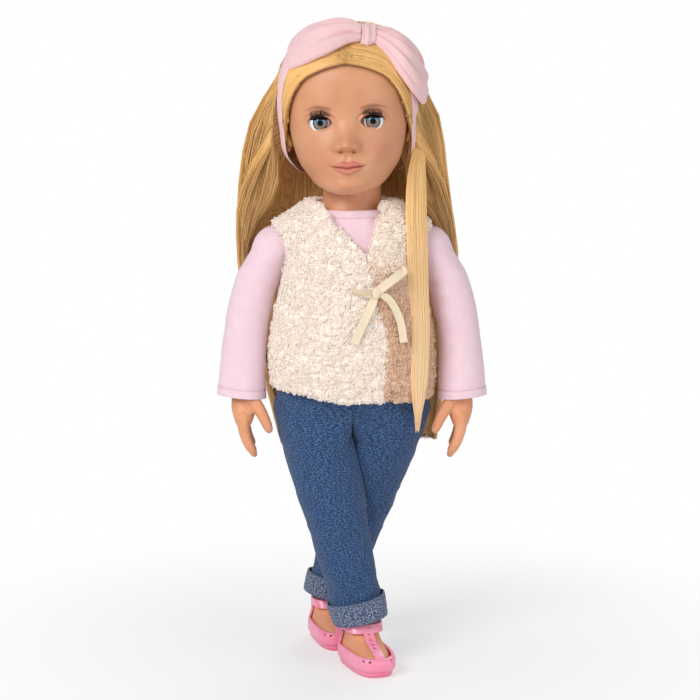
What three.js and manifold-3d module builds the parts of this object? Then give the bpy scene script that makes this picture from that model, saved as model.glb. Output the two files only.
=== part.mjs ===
// A dressed play doll of the 18-inch class, in millimetres, +Z up, facing -Y.
// Vinyl head, arms and legs are jointed to a stuffed cloth torso; the clothes are separate pieces.
// Names ending in _left are on the doll's own left, which is +X.

import * as THREE from 'three';
import { mergeVertices } from 'three/addons/utils/BufferGeometryUtils.js';
import Module from 'manifold-3d';

const wasm = await Module();
wasm.setup();

// Driving dimensions: fits
const clearance = 0.35;
const clothGap = 0.4;

// Driving dimensions: stance
const hipHeight = 180;
const hipHalfSpacing = 30;
const frontAnkle = { x: 6, y: -34, yaw: 20 };
const rearAnkle = { x: -17, y: 33, yaw: 13 };
const shoulderDrop = 24;
const shoulderHalfSpacing = 54;
const neckAboveHip = 142;
const neckHeight = hipHeight + neckAboveHip;
const shoulderHeight = neckHeight - shoulderDrop;
const headRoll = -2.2;
const headYaw = -2;

// Driving dimensions: limbs
const ankleHeight = 32;
const ankleRadius = 10.5;
const calfRadius = 14.5;
const kneeRadius = 15.5;
const legTopRadius = 21;
const hipBallRadius = 8;
const hipPinRadius = 2;
const hipWebRadius = 15;
const hipSpread = 28;
const footLength = 60;
const footHalfWidth = 12.5;
const armTopRadius = 12.5;
const upperArmRadius = 10.5;
const wristRadius = 8.5;
const shoulderDiscRadius = 11;
const shoulderDiscThickness = 2.4;
const shoulderStemRadius = 5;
const shoulderDiscInset = 26;

// Driving dimensions: head
const chinAboveNeck = 16.6;
const chinHeight = neckHeight + chinAboveNeck;
const headWall = 4;
const eyeHalfSpacing = 18.4;
const eyesAboveChin = 50.9;
const eyeHeight = chinHeight + eyesAboveChin;
const eyeDepth = -32.3;
const eyeRadius = 8.5;
const eyeCupWall = 1.8;
const eyePinRadius = 1.2;
const eyeOpeningHalfWidth = 7.4;
const eyeOpeningUp = 5.2;
const eyeOpeningDown = 4.2;
const eyeWeightArm = 15;
const eyeWeightRadius = 3.4;
const lashLength = 3.2;
const lashThickness = 0.7;
const lashRise = 24;
const lashSpread = 25;
const neckRadius = 21;
const neckFlangeRadius = 19;
const neckBoreRadius = 9;
const neckFlangeThickness = 3;
const neckStemRadius = 17;
const neckStemLength = 5;
const neckCollarRadius = 23.6;
const neckCollarRise = 4;

// Driving dimensions: hair and headband
const hairThickness = 4.6;
const bandThickness = 1.6;
const bandHalfWidth = 6.5;
const hairEndBelowNeck = 174;
const lockThickness = 4.5;
const lockHalfWidth = 7.5;

// Driving dimensions: clothes
const shirtThickness = 1.2;
const shirtBottomAboveHip = 42;
const shirtBottom = hipHeight + shirtBottomAboveHip;
const vestThickness = 6.2;
const vestHemAboveHip = 12;
const vestHemHeight = hipHeight + vestHemAboveHip;
const sleeveBallRadius = 17;
const sleeveWall = 1.2;
const jeansTopRadius = 27.5;
const jeansWall = 1.7;
const jeansHemHeight = 33;
const jeansWaistAboveHip = 36;
const jeansWaistHeight = hipHeight + jeansWaistAboveHip;
const cuffHeight = 14;
const cuffThickness = 2;
const ribbonWidth = 5;
const ribbonThickness = 0.8;

// Driving dimensions: shoes
const shoeWall = 1.7;
const shoeSole = 3;
const shoeVampHeight = 15;
const shoeStrapHeight = 6;
const tStrapHalfWidth = 3.2;

// Extra room between a coarse faceted form and the curved piece inside it
const facetRoom = 0.6;

const degrees = Math.PI / 180;
const point = (x, y, z) => new THREE.Vector3(x, y, z);
const bump = (value, middle, spread) => Math.exp(-(((value - middle) / spread) ** 2));
const mix = THREE.MathUtils.lerp;

// Closed geometries become solids here, and solids become geometries again
function solid(geometry) {
  const plain = geometry.clone();
  plain.deleteAttribute('normal');
  plain.deleteAttribute('uv');
  const merged = mergeVertices(plain, 1e-4);
  const made = new wasm.Manifold(
    new wasm.Mesh({
      numProp: 3,
      vertProperties: merged.attributes.position.array,
      triVerts: new Uint32Array(merged.index.array),
    })
  );
  return made;
}

function geometryOf(made) {
  const mesh = made.getMesh();
  const geometry = new THREE.BufferGeometry();
  geometry.setAttribute('position', new THREE.BufferAttribute(new Float32Array(mesh.vertProperties), 3));
  geometry.setIndex(new THREE.BufferAttribute(new Uint32Array(mesh.triVerts), 1));
  geometry.computeVertexNormals();
  return geometry;
}

function indexedGeometry(points, faces) {
  const geometry = new THREE.BufferGeometry();
  const flat = points.flatMap((p) => [p.x, p.y, p.z]);
  geometry.setAttribute('position', new THREE.Float32BufferAttribute(flat, 3));
  geometry.setIndex(faces.flat());
  return geometry;
}

// Mirrors a geometry across the doll's middle plane and turns its faces back outward
function mirroredGeometry(geometry) {
  const copy = geometry.clone().scale(-1, 1, 1);
  const index = Array.from(copy.index.array);
  for (let i = 0; i < index.length; i += 3) {
    const swap = index[i];
    index[i] = index[i + 1];
    index[i + 1] = swap;
  }
  copy.setIndex(index);
  return copy;
}

// A loft through rings of equal count, each ring counter-clockwise seen from the last one
function loft(rings) {
  const count = rings[0].length;
  const points = rings.flat();
  const faces = [];
  for (let r = 0; r < rings.length - 1; r++) {
    for (let i = 0; i < count; i++) {
      const a = r * count + i;
      const b = r * count + ((i + 1) % count);
      faces.push([a, b, b + count], [a, b + count, a + count]);
    }
  }
  const middle = (ring) => ring.reduce((sum, p) => sum.add(p), point(0, 0, 0)).divideScalar(count);
  const low = points.length;
  points.push(middle(rings[0]), middle(rings[rings.length - 1]));
  const top = (rings.length - 1) * count;
  for (let i = 0; i < count; i++) {
    const next = (i + 1) % count;
    faces.push([low, next, i], [low + 1, top + i, top + next]);
  }
  return indexedGeometry(points, faces);
}

// A thick sheet between an outer and an inner surface, both given as functions of across and along
function thickSheet(outer, inner, acrossSteps, alongSteps) {
  const points = [];
  const faces = [];
  const width = acrossSteps + 1;
  const layer = width * (alongSteps + 1);
  for (const surface of [outer, inner]) {
    for (let j = 0; j <= alongSteps; j++) {
      for (let i = 0; i <= acrossSteps; i++) points.push(surface(i / acrossSteps, j / alongSteps));
    }
  }
  const quad = (a, b, c, d) => faces.push([a, b, c], [a, c, d]);
  for (let j = 0; j < alongSteps; j++) {
    for (let i = 0; i < acrossSteps; i++) {
      const a = j * width + i;
      quad(a, a + 1, a + 1 + width, a + width);
      quad(layer + a, layer + a + width, layer + a + 1 + width, layer + a + 1);
    }
    const left = j * width;
    const right = left + acrossSteps;
    quad(left, left + width, layer + left + width, layer + left);
    quad(right, layer + right, layer + right + width, right + width);
  }
  const last = alongSteps * width;
  for (let i = 0; i < acrossSteps; i++) {
    quad(i, layer + i, layer + i + 1, i + 1);
    quad(last + i, last + i + 1, layer + last + i + 1, layer + last + i);
  }
  return indexedGeometry(points, faces);
}

// A height between the ankles and the hips
const legHeight = (share) => mix(ankleHeight, hipHeight, share);

// A horizontal oval whose front and back reach differ; a power above 2 squares its corners
function oval({ x = 0, y = 0, z, half, front, back, power = 2, count = 24, grow = 0 }) {
  const ring = [];
  for (let i = 0; i < count; i++) {
    const angle = (i / count) * 2 * Math.PI;
    const c = Math.cos(angle);
    const s = Math.sin(angle);
    const reach = (s < 0 ? front : back) + grow;
    ring.push(
      point(
        x + Math.sign(c) * Math.abs(c) ** (2 / power) * (half + grow),
        y + Math.sign(s) * Math.abs(s) ** (2 / power) * reach,
        z
      )
    );
  }
  return ring;
}

// Reads a value from rows of [height, value...] with a smooth curve between the rows
function readRows(rows, height, column) {
  let i = 0;
  while (i < rows.length - 2 && height > rows[i + 1][0]) i++;
  const p0 = rows[Math.max(i - 1, 0)];
  const p1 = rows[i];
  const p2 = rows[i + 1];
  const p3 = rows[Math.min(i + 2, rows.length - 1)];
  const span = p2[0] - p1[0];
  const t = THREE.MathUtils.clamp((height - p1[0]) / span, 0, 1);
  const slope = (a, b) => (b[0] === a[0] ? 0 : (b[column] - a[column]) / (b[0] - a[0]));
  const middle = slope(p1, p2);
  const limit = (m) => (m * middle <= 0 ? 0 : Math.sign(m) * Math.min(Math.abs(m), 3 * Math.abs(middle)));
  const m1 = limit(p0 === p1 ? middle : (slope(p0, p1) + middle) / 2) * span;
  const m2 = limit(p3 === p2 ? middle : (middle + slope(p2, p3)) / 2) * span;
  const a = 2 * p1[column] + m1 - 2 * p2[column] + m2;
  const b = -3 * p1[column] - 2 * m1 + 3 * p2[column] - m2;
  return ((a * t + b) * t + m1) * t + p1[column];
}

// The heights of the rows between two ends, with the two ends
function levelsBetween(rows, from, to) {
  const between = rows.map((row) => row[0]).filter((z) => z > from && z < to);
  return [from, ...between, to];
}

const sphere = (radius, x, y, z, around = 14, down = 8) =>
  solid(new THREE.SphereGeometry(radius, around, down).translate(x, y, z));

// A faceted hollow that a ball of the given radius fits inside at any angle
const sphereRoom = (radius, x, y, z, around = 14, down = 8) =>
  sphere(radius / Math.cos(Math.PI / around) / Math.cos(Math.PI / down / 2), x, y, z, around, down);

const box = (x0, x1, y0, y1, z0, z1) =>
  solid(
    new THREE.BoxGeometry(x1 - x0, y1 - y0, z1 - z0).translate((x0 + x1) / 2, (y0 + y1) / 2, (z0 + z1) / 2)
  );

// A cylinder along X, Y or Z between two coordinates
function rod(axis, radius, from, to, x, y, z, sides = 10) {
  const geometry = new THREE.CylinderGeometry(radius, radius, to - from, sides);
  const middle = (from + to) / 2;
  if (axis === 'x') geometry.rotateZ(Math.PI / 2).translate(middle, y, z);
  if (axis === 'y') geometry.translate(x, middle, z);
  if (axis === 'z') geometry.rotateX(Math.PI / 2).translate(x, y, middle);
  return solid(geometry);
}

// A revolved piece about the vertical line through x, y
const turnedSides = 14;
const turned = (profile, x, y) =>
  solid(
    new THREE.LatheGeometry(profile.map(([r, z]) => new THREE.Vector2(r, z)), turnedSides)
      .rotateX(Math.PI / 2)
      .translate(x, y, 0)
  );

// An outline in the XZ plane carried along Y between two depths
function frontPrism(outline, yFront, yBack) {
  const shape = new THREE.Shape(outline.map(([x, z]) => new THREE.Vector2(x, z)));
  const geometry = new THREE.ExtrudeGeometry(shape, { depth: yBack - yFront, bevelEnabled: false });
  return solid(geometry.rotateX(Math.PI / 2).translate(0, yBack, 0));
}

// The largest body left by a cut
function largest(made) {
  const bodies = made.decompose();
  return bodies.reduce((best, body) => (body.volume() > best.volume() ? body : best));
}

// Rings of the upper half of a ball, to close the top of a limb
function dome(radius, x, y, z, count, power) {
  return [24, 46, 66, 82].map((rise) => {
    const reach = radius * Math.cos(rise * degrees);
    const height = z + radius * Math.sin(rise * degrees);
    return oval({ x, y, z: height, half: reach, front: reach, back: reach, count, power });
  });
}

const union = (parts) => parts.reduce((sum, part) => sum.add(part));

// Head

// Rows of height, half width, front, back for the vinyl head without its features
const headRows = [
  [chinHeight, 8, -36, -22],
  [chinHeight + 2.4, 16.5, -41, -12],
  [chinHeight + 7.4, 25, -44, -1],
  [chinHeight + 14.4, 31, -45, 10],
  [chinHeight + 21.4, 35.5, -45.2, 22],
  [chinHeight + 29.4, 38.5, -44.8, 34],
  [chinHeight + 37.4, 40.5, -44.2, 42],
  [chinHeight + 47.4, 42.6, -43.4, 48],
  [chinHeight + 57.4, 44, -43.6, 51],
  [chinHeight + 69.4, 44.8, -44.3, 52.5],
  [chinHeight + 81.4, 43.6, -43, 51],
  [chinHeight + 91.4, 40.8, -39.5, 47.5],
  [chinHeight + 101.4, 34.8, -32, 40],
  [chinHeight + 109.4, 25, -21, 28],
  [chinHeight + 113.9, 12, -9, 14],
];
const neckY = 3;
const headBottom = neckHeight - 10;
const napeHeight = chinHeight + 13.4;

// The head and what it carries lean and turn a little about the neck
const headPose = new THREE.Matrix4()
  .makeTranslation(0, neckY, neckHeight)
  .multiply(new THREE.Matrix4().makeRotationZ(headYaw * degrees))
  .multiply(new THREE.Matrix4().makeRotationY(headRoll * degrees))
  .multiply(new THREE.Matrix4().makeTranslation(0, -neckY, -neckHeight));
const posed = (made) => solid(geometryOf(made).applyMatrix4(headPose));

// How far the moulded features stand forward of the plain head; heights are above the chin
function faceRelief(x, z) {
  const side = Math.abs(x);
  const rise = z - chinHeight;
  const { smoothstep } = THREE.MathUtils;
  const bridge = smoothstep(53.4 - rise, 0, 19) * smoothstep(rise, 27.9, 33.4);
  const nose = 8.6 * bump(x, 0, 6) * bridge + 2.6 * bump(side, 6, 3) * bump(rise, 32.2, 3.2);
  const upperLip = 2.7 * bump(x, 0, 8.5) * bump(rise, 22.4, 2.6);
  const lowerLip = 3 * bump(x, 0, 7.5) * bump(rise, 16.2, 2.8);
  const chin = 1.6 * bump(x, 0, 9) * bump(rise, 5.9, 4.5);
  const cheeks = 2 * bump(side, 20, 11) * bump(rise, 27.4, 10);
  const sockets = -1.9 * bump(side, eyeHalfSpacing, 8.5) * bump(z, eyeHeight + 0.5, 6.5);
  return nose + upperLip + lowerLip + chin + cheeks + sockets;
}

function headRing(z, grow, count, features) {
  const half = readRows(headRows, z, 1);
  const front = readRows(headRows, z, 2);
  const back = readRows(headRows, z, 3);
  const middle = THREE.MathUtils.clamp(0, front + 14, back - 8);
  const ring = [];
  for (let i = 0; i < count; i++) {
    // The points crowd towards the face, at three quarters of a turn
    const turn = (i / count) * 2 * Math.PI;
    const angle = turn - (features ? 0.42 * Math.cos(turn) : 0);
    const c = Math.cos(angle);
    const s = Math.sin(angle);
    const reach = s < 0 ? middle - front : back - middle;
    const x = Math.sign(c) * Math.abs(c) ** (2 / 2.15) * (half + grow);
    let y = middle + Math.sign(s) * Math.abs(s) ** (2 / 2.15) * (reach + grow);
    if (features && s < 0) y -= faceRelief(x, z) * THREE.MathUtils.smoothstep(-s, 0.25, 0.7);
    ring.push(point(x, y, z));
  }
  return ring;
}

// Heights of the rings: even over the face, closer and closer towards the crown
const browRise = 65.4;
const crownRises = [76.4, 86.4, 94.4, 101.4, 106.4, 110.4, 112.6, 113.9];
function headLevels(from, faceSteps) {
  const levels = [];
  for (let i = 0; i < faceSteps; i++) levels.push(mix(from, chinHeight + browRise, i / faceSteps));
  levels.push(chinHeight + browRise);
  for (const rise of crownRises) levels.push(chinHeight + rise);
  return levels;
}

// Growing moves the lower rings down and the upper rings up, from the widest part of the head
const widestRise = 36.4;
function headForm(grow, count, levels, features = false) {
  const low = headRows[0][0];
  const high = headRows[headRows.length - 1][0];
  const middle = chinHeight + widestRise;
  const rings = [];
  for (const z of levels) {
    const end = z < middle ? low : high;
    const lift = (Math.sign(end - middle) * grow * (z - middle)) / (end - middle);
    const ring = headRing(z, grow, count, features);
    ring.forEach((p) => (p.z += lift));
    rings.push(ring);
  }
  return loft(rings);
}

// An ear: a flattened shell with a hollow in front
function ear(side, grow = 0) {
  const shell = new THREE.SphereGeometry(1, 8, 6)
    .scale(3.2 + grow, 6.6 + grow, 11.5 + grow)
    .rotateZ(side * 20 * degrees)
    .rotateX(-8 * degrees)
    .translate(side * 43.2, 3, chinHeight + 40.4);
  const bowl = sphere(4.2, side * 48.5, 0.5, chinHeight + 42.4, 10, 6);
  return grow ? solid(shell) : solid(shell).subtract(bowl);
}

// The almond opening that the eye looks through
function eyeOpening(side) {
  const outline = [];
  const steps = 12;
  for (let i = 0; i < steps; i++) {
    const angle = (i / steps) * 2 * Math.PI;
    const rise = Math.sin(angle) > 0 ? eyeOpeningUp : eyeOpeningDown;
    outline.push([
      side * eyeHalfSpacing + Math.cos(angle) * eyeOpeningHalfWidth,
      eyeHeight + Math.sin(angle) * rise,
    ]);
  }
  return frontPrism(outline, -60, eyeDepth);
}

const eyeCupOuter = eyeRadius + clearance + eyeCupWall;

function headShell() {
  const neck = turned(
    [
      [0, headBottom],
      [neckStemRadius, headBottom],
      [neckStemRadius, headBottom + neckStemLength],
      [neckCollarRadius, neckHeight + neckCollarRise],
      [neckRadius + 1, neckHeight + 9],
      [neckRadius, neckHeight + 18],
      [neckRadius, neckHeight + 40],
      [0, neckHeight + 40],
    ],
    0,
    neckY
  );
  const outside = solid(headForm(0, 32, headLevels(chinHeight, 14), true)).add(ear(1)).add(ear(-1));
  const insideLevels = [6.4, 23.4, 51.4, 81.4, 101.4, 109.4].map((rise) => chinHeight + rise);
  const inside = solid(headForm(-headWall, 10, insideLevels));
  const hollow = inside.subtract(box(-60, 60, -60, 60, headBottom, chinHeight + 23.4));
  const bore = rod('z', neckBoreRadius, headBottom - 5, chinHeight + 41.4, 0, neckY, 0, 16);
  let shell = posed(outside).add(neck).subtract(posed(hollow)).subtract(bore);
  for (const side of [-1, 1]) {
    const x = side * eyeHalfSpacing;
    const seat = rod('y', eyeCupOuter + clearance + facetRoom, eyeDepth - 0.5, -10, x, 0, eyeHeight, 12);
    const ball = sphereRoom(eyeRadius + clearance, x, eyeDepth, eyeHeight, 12, 8);
    const reach = eyeCupOuter;
    const pins = rod('x', eyePinRadius + clearance, x - reach, x + reach, 0, eyeDepth, eyeHeight, 8);
    const room = union([seat, ball, pins, eyeOpening(side), eyelash(side, clearance)]);
    shell = shell.subtract(posed(room));
  }
  return shell;
}

// The disc that locks the neck in the torso, with the stem that plugs the neck bore
function neckFlange() {
  const top = headBottom - clearance;
  return turned(
    [
      [0, top - neckFlangeThickness],
      [neckFlangeRadius, top - neckFlangeThickness],
      [neckFlangeRadius, top],
      [neckBoreRadius - clearance, top],
      [neckBoreRadius - clearance, top + 14],
      [0, top + 14],
    ],
    0,
    neckY
  );
}

// Sleep eyes: a cup fixed in the head, a ball on two pins, its lashes and its weight
function eyeCup(side) {
  const x = side * eyeHalfSpacing;
  const outer = sphere(eyeCupOuter, x, eyeDepth, eyeHeight, 12, 8);
  const inner = sphereRoom(eyeRadius + clearance, x, eyeDepth, eyeHeight, 12, 8);
  const front = box(x - 20, x + 20, -60, eyeDepth - 0.1, chinHeight + 21.4, chinHeight + 81.4);
  const pins = rod('x', eyePinRadius + 0.3, x - 14, x + 14, 0, eyeDepth, eyeHeight, 8);
  const reach = eyeWeightRadius + 1;
  const slot = box(x - reach, x + reach, eyeDepth, 0, eyeHeight - 13, eyeHeight + 2.5);
  return outer.subtract(inner).subtract(front).subtract(pins).subtract(slot);
}

function eyeball(side) {
  const x = side * eyeHalfSpacing;
  const pin = eyeCupOuter - 0.4;
  return sphere(eyeRadius, x, eyeDepth, eyeHeight, 14, 10).add(
    rod('x', eyePinRadius, x - pin, x + pin, 0, eyeDepth, eyeHeight, 8)
  );
}

function eyelash(side, grow = 0) {
  const near = eyeRadius + 0.3 - grow;
  const far = near + lashLength + 2 * grow;
  const halfThickness = lashThickness / 2 + grow;
  const at = (radius, angle, lift) => {
    const flat = radius * Math.cos(lashRise * degrees);
    return point(
      side * eyeHalfSpacing + flat * Math.sin(angle),
      eyeDepth - flat * Math.cos(angle),
      eyeHeight + radius * Math.sin(lashRise * degrees) + lift
    );
  };
  const spread = lashSpread * degrees + grow / near;
  const upper = (u, v) => at(mix(near, far, v), mix(-spread, spread, u), halfThickness);
  const lower = (u, v) => at(mix(near, far, v), mix(-spread, spread, u), -halfThickness);
  return solid(thickSheet(lower, upper, 6, 1));
}

function eyeWeight(side) {
  const x = side * eyeHalfSpacing;
  const fall = 50 * degrees;
  const near = eyeRadius + 0.3;
  const arm = new THREE.CylinderGeometry(1.3, 1.3, eyeWeightArm - near, 6);
  arm.rotateX(-fall).translate(
    x,
    eyeDepth + (Math.cos(fall) * (near + eyeWeightArm)) / 2,
    eyeHeight - (Math.sin(fall) * (near + eyeWeightArm)) / 2
  );
  const bob = sphere(
    eyeWeightRadius, x,
    eyeDepth + Math.cos(fall) * eyeWeightArm,
    eyeHeight - Math.sin(fall) * eyeWeightArm,
    8, 6
  );
  return bob.add(solid(arm));
}

// Hair and headband

// The hairline as seen from the front, from the temple up to the parting, on the doll's left
const hairline = [
  [47, chinHeight + 35.4],
  [43.5, chinHeight + 45.4],
  [41.5, chinHeight + 57.4],
  [37.5, chinHeight + 68.4],
  [30, chinHeight + 79.9],
  [17, chinHeight + 86.9],
  [0, chinHeight + 90.9],
];

function hairForm(grow) {
  const rings = [];
  const top = headRows[headRows.length - 1][0];
  const thickness = hairThickness + grow;
  const liftFrom = chinHeight + 61.4;
  for (const z of headLevels(napeHeight - grow, 3)) {
    const lift = z < liftFrom ? 0 : thickness * ((z - liftFrom) / (top - liftFrom)) ** 2;
    const ring = headRing(z, thickness, 22, false);
    const belowCrown = THREE.MathUtils.smoothstep(chinHeight + 109.4 - z, 0, 40);
    ring.forEach((p) => {
      // The hair behind the headband stands out further than the hair in front of it
      const puff = THREE.MathUtils.smoothstep(p.y, 4, 26) * belowCrown;
      const sideways = Math.min(Math.abs(p.x) / 40, 1);
      p.x *= 1 + 0.2 * puff * sideways;
      p.y += 3 * puff;
      p.z += lift;
    });
    rings.push(ring);
  }
  return solid(loft(rings));
}

function hairCap() {
  const otherSide = hairline.slice(0, -1).reverse().map(([x, z]) => [-x, z]);
  const face = [...hairline, ...otherSide];
  const [earTop, low] = [chinHeight + 35.4, chinHeight - 8.6];
  face.push([-60, earTop], [-60, low], [60, low], [60, earTop]);
  const opening = frontPrism(face.reverse(), -80, -4);
  const below = box(-70, 70, -80, 26, low, earTop - 2);
  return hairForm(0)
    .subtract(solid(headForm(clearance + 2 * facetRoom, 20, headLevels(napeHeight, 5))))
    .subtract(opening)
    .subtract(below)
    .subtract(ear(1, 0.6))
    .subtract(ear(-1, 0.6));
}

const hairEndHeight = neckHeight - hairEndBelowNeck;

// Rows of height, outer half width, outer back, inner half width, inner back, end depth of the long hair
const fallRows = [
  [hairEndHeight, 58, 50, 56, 44.5, 44],
  [hairEndHeight + 28, 63, 54, 60, 45, 43.5],
  [hairEndHeight + 62, 70, 57.5, 66, 45.5, 43],
  [mix(hipHeight, neckHeight, 0.458), 77, 60.5, 72, 45.5, 40],
  [neckHeight - 46, 82, 62.5, 76, 45.5, 36],
  [neckHeight - 22, 81, 63.5, 74, 43, 29],
  [neckHeight - 4, 79, 64, 66, 38, 22],
  [neckHeight + 8, 77, 64, 48, 34, 12],
  [neckHeight + 23, 75.5, 63.5, 45, 36, 6],
  [napeHeight, 74.5, 63.5, 44, 40, 4],
];
const fallTopRows = [
  [napeHeight, 74.5, 63.5, 44, 4],
  [chinHeight + 31.4, 73, 64, 44, 4],
  [chinHeight + 53.4, 67, 64, 43, 7],
  [chinHeight + 72.4, 59, 63, 42, 11],
  [chinHeight + 86.4, 53, 60.5, 40, 16],
  [chinHeight + 95.4, 47, 57, 38, 22],
];

// The long hair hangs as one curtain, open at the front, round the neck and down the back
function hairBack() {
  const low = fallRows[0][0];
  const high = chinHeight + 95.4;
  const surface = (layer) => (u, v) => {
    const z = mix(low, high, v);
    const upper = z > napeHeight;
    const rows = upper ? fallTopRows : fallRows;
    const half = layer === 'outer' ? readRows(rows, z, 1) : readRows(rows, z, 3);
    const innerBack = upper ? Math.max(readRows(headRows, z, 3) + 2, 38) : readRows(rows, z, 4);
    const back = layer === 'outer' ? readRows(rows, z, 2) : innerBack;
    const end = readRows(rows, z, upper ? 4 : 5);
    const angle = mix(-90, 90, u) * degrees;
    const ripple = layer === 'outer' ? 1 + 0.012 * Math.sin(u * 40) * Math.cos(angle) : 1;
    return point(half * Math.sin(angle), end + (back - end) * Math.cos(angle) ** 0.8 * ripple, z);
  };
  const outerLayer = surface('outer');
  const innerLayer = surface('inner');
  return solid(thickSheet((u, v) => outerLayer(1 - u, v), (u, v) => innerLayer(1 - u, v), 16, 11));
}

// The loose lock that lies over the vest on the doll's left
const lockRows = [
  [49.8, chinHeight + 27.4, -2.4],
  [49.6, chinHeight + 7.4, -11],
  [47.6, neckHeight + 6, -21],
];
const lockOnVest = [
  [43.5, neckHeight - 14, 4],
  [43.5, neckHeight - 32, 2],
  [45, neckHeight - 54, 0],
  [46.5, neckHeight - 82, 0],
  [46, neckHeight - 108, 0],
  [45.5, neckHeight - 129, 0],
];
const lockTip = [[45, neckHeight - 142], [44.5, neckHeight - 155]];

// Out from the vest at the side of the chest, where the lock lies
const lockOutward = point(0.75, -0.66, 0.05).normalize();

function lockPath() {
  const path = lockRows.map(([x, z, y]) => [x, y, z]);
  const lift = lockThickness / 2 + 0.5;
  for (const [x, z, more] of lockOnVest) {
    path.push(onVest(x, z, 0).addScaledVector(lockOutward, lift + more).toArray());
  }
  const last = path[path.length - 1];
  for (const [x, z] of lockTip) path.push([x + lockOutward.x * lift, last[1], z]);
  return path;
}

function sweptStrip(path, halfWidth, halfThickness, steps, outward, sides = 10) {
  const curve = new THREE.CatmullRomCurve3(path.map((p) => point(...p)));
  const rings = [];
  for (let i = 0; i <= steps; i++) {
    const t = i / steps;
    const at = curve.getPoint(t);
    const along = curve.getTangent(t);
    const out = outward(at, t).clone();
    out.addScaledVector(along, -out.dot(along)).normalize();
    const across = new THREE.Vector3().crossVectors(along, out);
    const ring = [];
    for (let k = 0; k < sides; k++) {
      const angle = (k / sides) * 2 * Math.PI + Math.PI / sides;
      ring.push(
        at
          .clone()
          .addScaledVector(out, Math.cos(angle) * halfThickness(t))
          .addScaledVector(across, Math.sin(angle) * halfWidth(t))
      );
    }
    rings.push(ring);
  }
  return loft(rings);
}

function hairFrontLock() {
  const swell = (t) => 0.8 + 0.4 * Math.sin(Math.min(t * 1.15, 1) * Math.PI);
  const width = (t) => lockHalfWidth * swell(t) * (1 - 0.75 * t ** 8);
  const thickness = (t) => (lockThickness / 2) * (1 - 0.7 * t ** 6);
  return solid(sweptStrip(lockPath(), width, thickness, 16, () => lockOutward, 8));
}

// Headband: a closed strip over the hair, behind the ears and under the nape
const bandPath = [
  [0, -18.5, chinHeight + 121],
  [20, -17, chinHeight + 118],
  [36, -12, chinHeight + 106.4],
  [46.5, -7, chinHeight + 86.4],
  [50.8, -2, chinHeight + 65.4],
  [51.6, 4, chinHeight + 45.4],
  [47.5, 11, chinHeight + 27.4],
  [38, 20, chinHeight + 14.4],
  [20, 29.5, chinHeight + 8.4],
  [0, 32.5, chinHeight + 7.4],
];

function bandForm(grow = 0) {
  const loop = [...bandPath, ...bandPath.slice(1, -1).reverse().map(([x, y, z]) => [-x, y, z])];
  const curve = new THREE.CatmullRomCurve3(loop.map((p) => point(...p)), true);
  const steps = 32;
  const points = [];
  const faces = [];
  for (let i = 0; i < steps; i++) {
    const at = curve.getPoint(i / steps);
    const along = curve.getTangent(i / steps);
    const out = point(at.x, at.y - 4, at.z - (chinHeight + 57.4));
    out.addScaledVector(along, -out.dot(along)).normalize();
    const across = new THREE.Vector3().crossVectors(along, out);
    const half = bandHalfWidth * THREE.MathUtils.smoothstep(at.z, 320, chinHeight + 41.4) + grow;
    const thick = bandThickness / 2 + grow;
    for (const [a, o] of [[-1, -1], [1, -1], [1, 1], [-1, 1]]) {
      points.push(at.clone().addScaledVector(across, a * half).addScaledVector(out, o * thick));
    }
    const next = ((i + 1) % steps) * 4;
    for (let k = 0; k < 4; k++) {
      const a = i * 4 + k;
      const b = i * 4 + ((k + 1) % 4);
      const c = next + ((k + 1) % 4);
      const d = next + k;
      faces.push([a, c, b], [a, d, c]);
    }
  }
  return solid(indexedGeometry(points, faces));
}

// The bow lies on the hair: a point of its outline seen from the front is carried back onto the head
function onHair(x, z, lift) {
  const centre = point(0, 4, chinHeight + 61.4);
  const size = point(51, 50, 60);
  const across = (x - centre.x) / size.x;
  const up = (z - centre.z) / size.z;
  const rest = Math.sqrt(Math.max(1 - across ** 2 - up ** 2, 0.0004));
  const at = point(x, centre.y - size.y * rest, z);
  const normal = point(across / size.x, -rest / size.y, up / size.z).normalize();
  return at.addScaledVector(normal, lift);
}

// A bow loop from rows of x, low edge, high edge and half thickness
function bowLoop(rows) {
  const steps = 8;
  const sides = 10;
  const rings = [];
  const low = rows[0][0];
  const high = rows[rows.length - 1][0];
  for (let i = 0; i <= steps; i++) {
    const x = mix(low, high, i / steps);
    const bottom = readRows(rows, x, 1);
    const top = readRows(rows, x, 2);
    const thick = readRows(rows, x, 3);
    const middle = (bottom + top) / 2;
    const half = (top - bottom) / 2;
    const ring = [];
    for (let k = 0; k < sides; k++) {
      const angle = (k / sides) * 2 * Math.PI;
      const z = middle + half * Math.cos(angle);
      ring.push(onHair(x, z, 2.2 + thick + thick * Math.sin(angle)));
    }
    rings.push(ring);
  }
  return solid(loft(rings));
}

const bowLoopRightRows = [
  [-45, chinHeight + 85.4, chinHeight + 97.4, 1.2],
  [-41, chinHeight + 81.9, chinHeight + 106.4, 3.5],
  [-32, chinHeight + 84.4, chinHeight + 114.9, 5],
  [-20, chinHeight + 91.4, chinHeight + 119.4, 5.5],
  [-8, chinHeight + 98.4, chinHeight + 119.9, 5],
  [1, chinHeight + 103.4, chinHeight + 117.9, 4],
  [5.4, chinHeight + 105.9, chinHeight + 114.9, 3.2],
];
const bowLoopLeftRows = [
  [16.2, chinHeight + 102.9, chinHeight + 112.9, 3.2],
  [22, chinHeight + 96.4, chinHeight + 112.4, 4],
  [30, chinHeight + 85.4, chinHeight + 107.9, 5],
  [39, chinHeight + 73.4, chinHeight + 99.9, 4.5],
  [46, chinHeight + 65.4, chinHeight + 91.4, 3.5],
  [49.5, chinHeight + 65.4, chinHeight + 82.4, 1.2],
];
const bowKnotX = 10.8;

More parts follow.
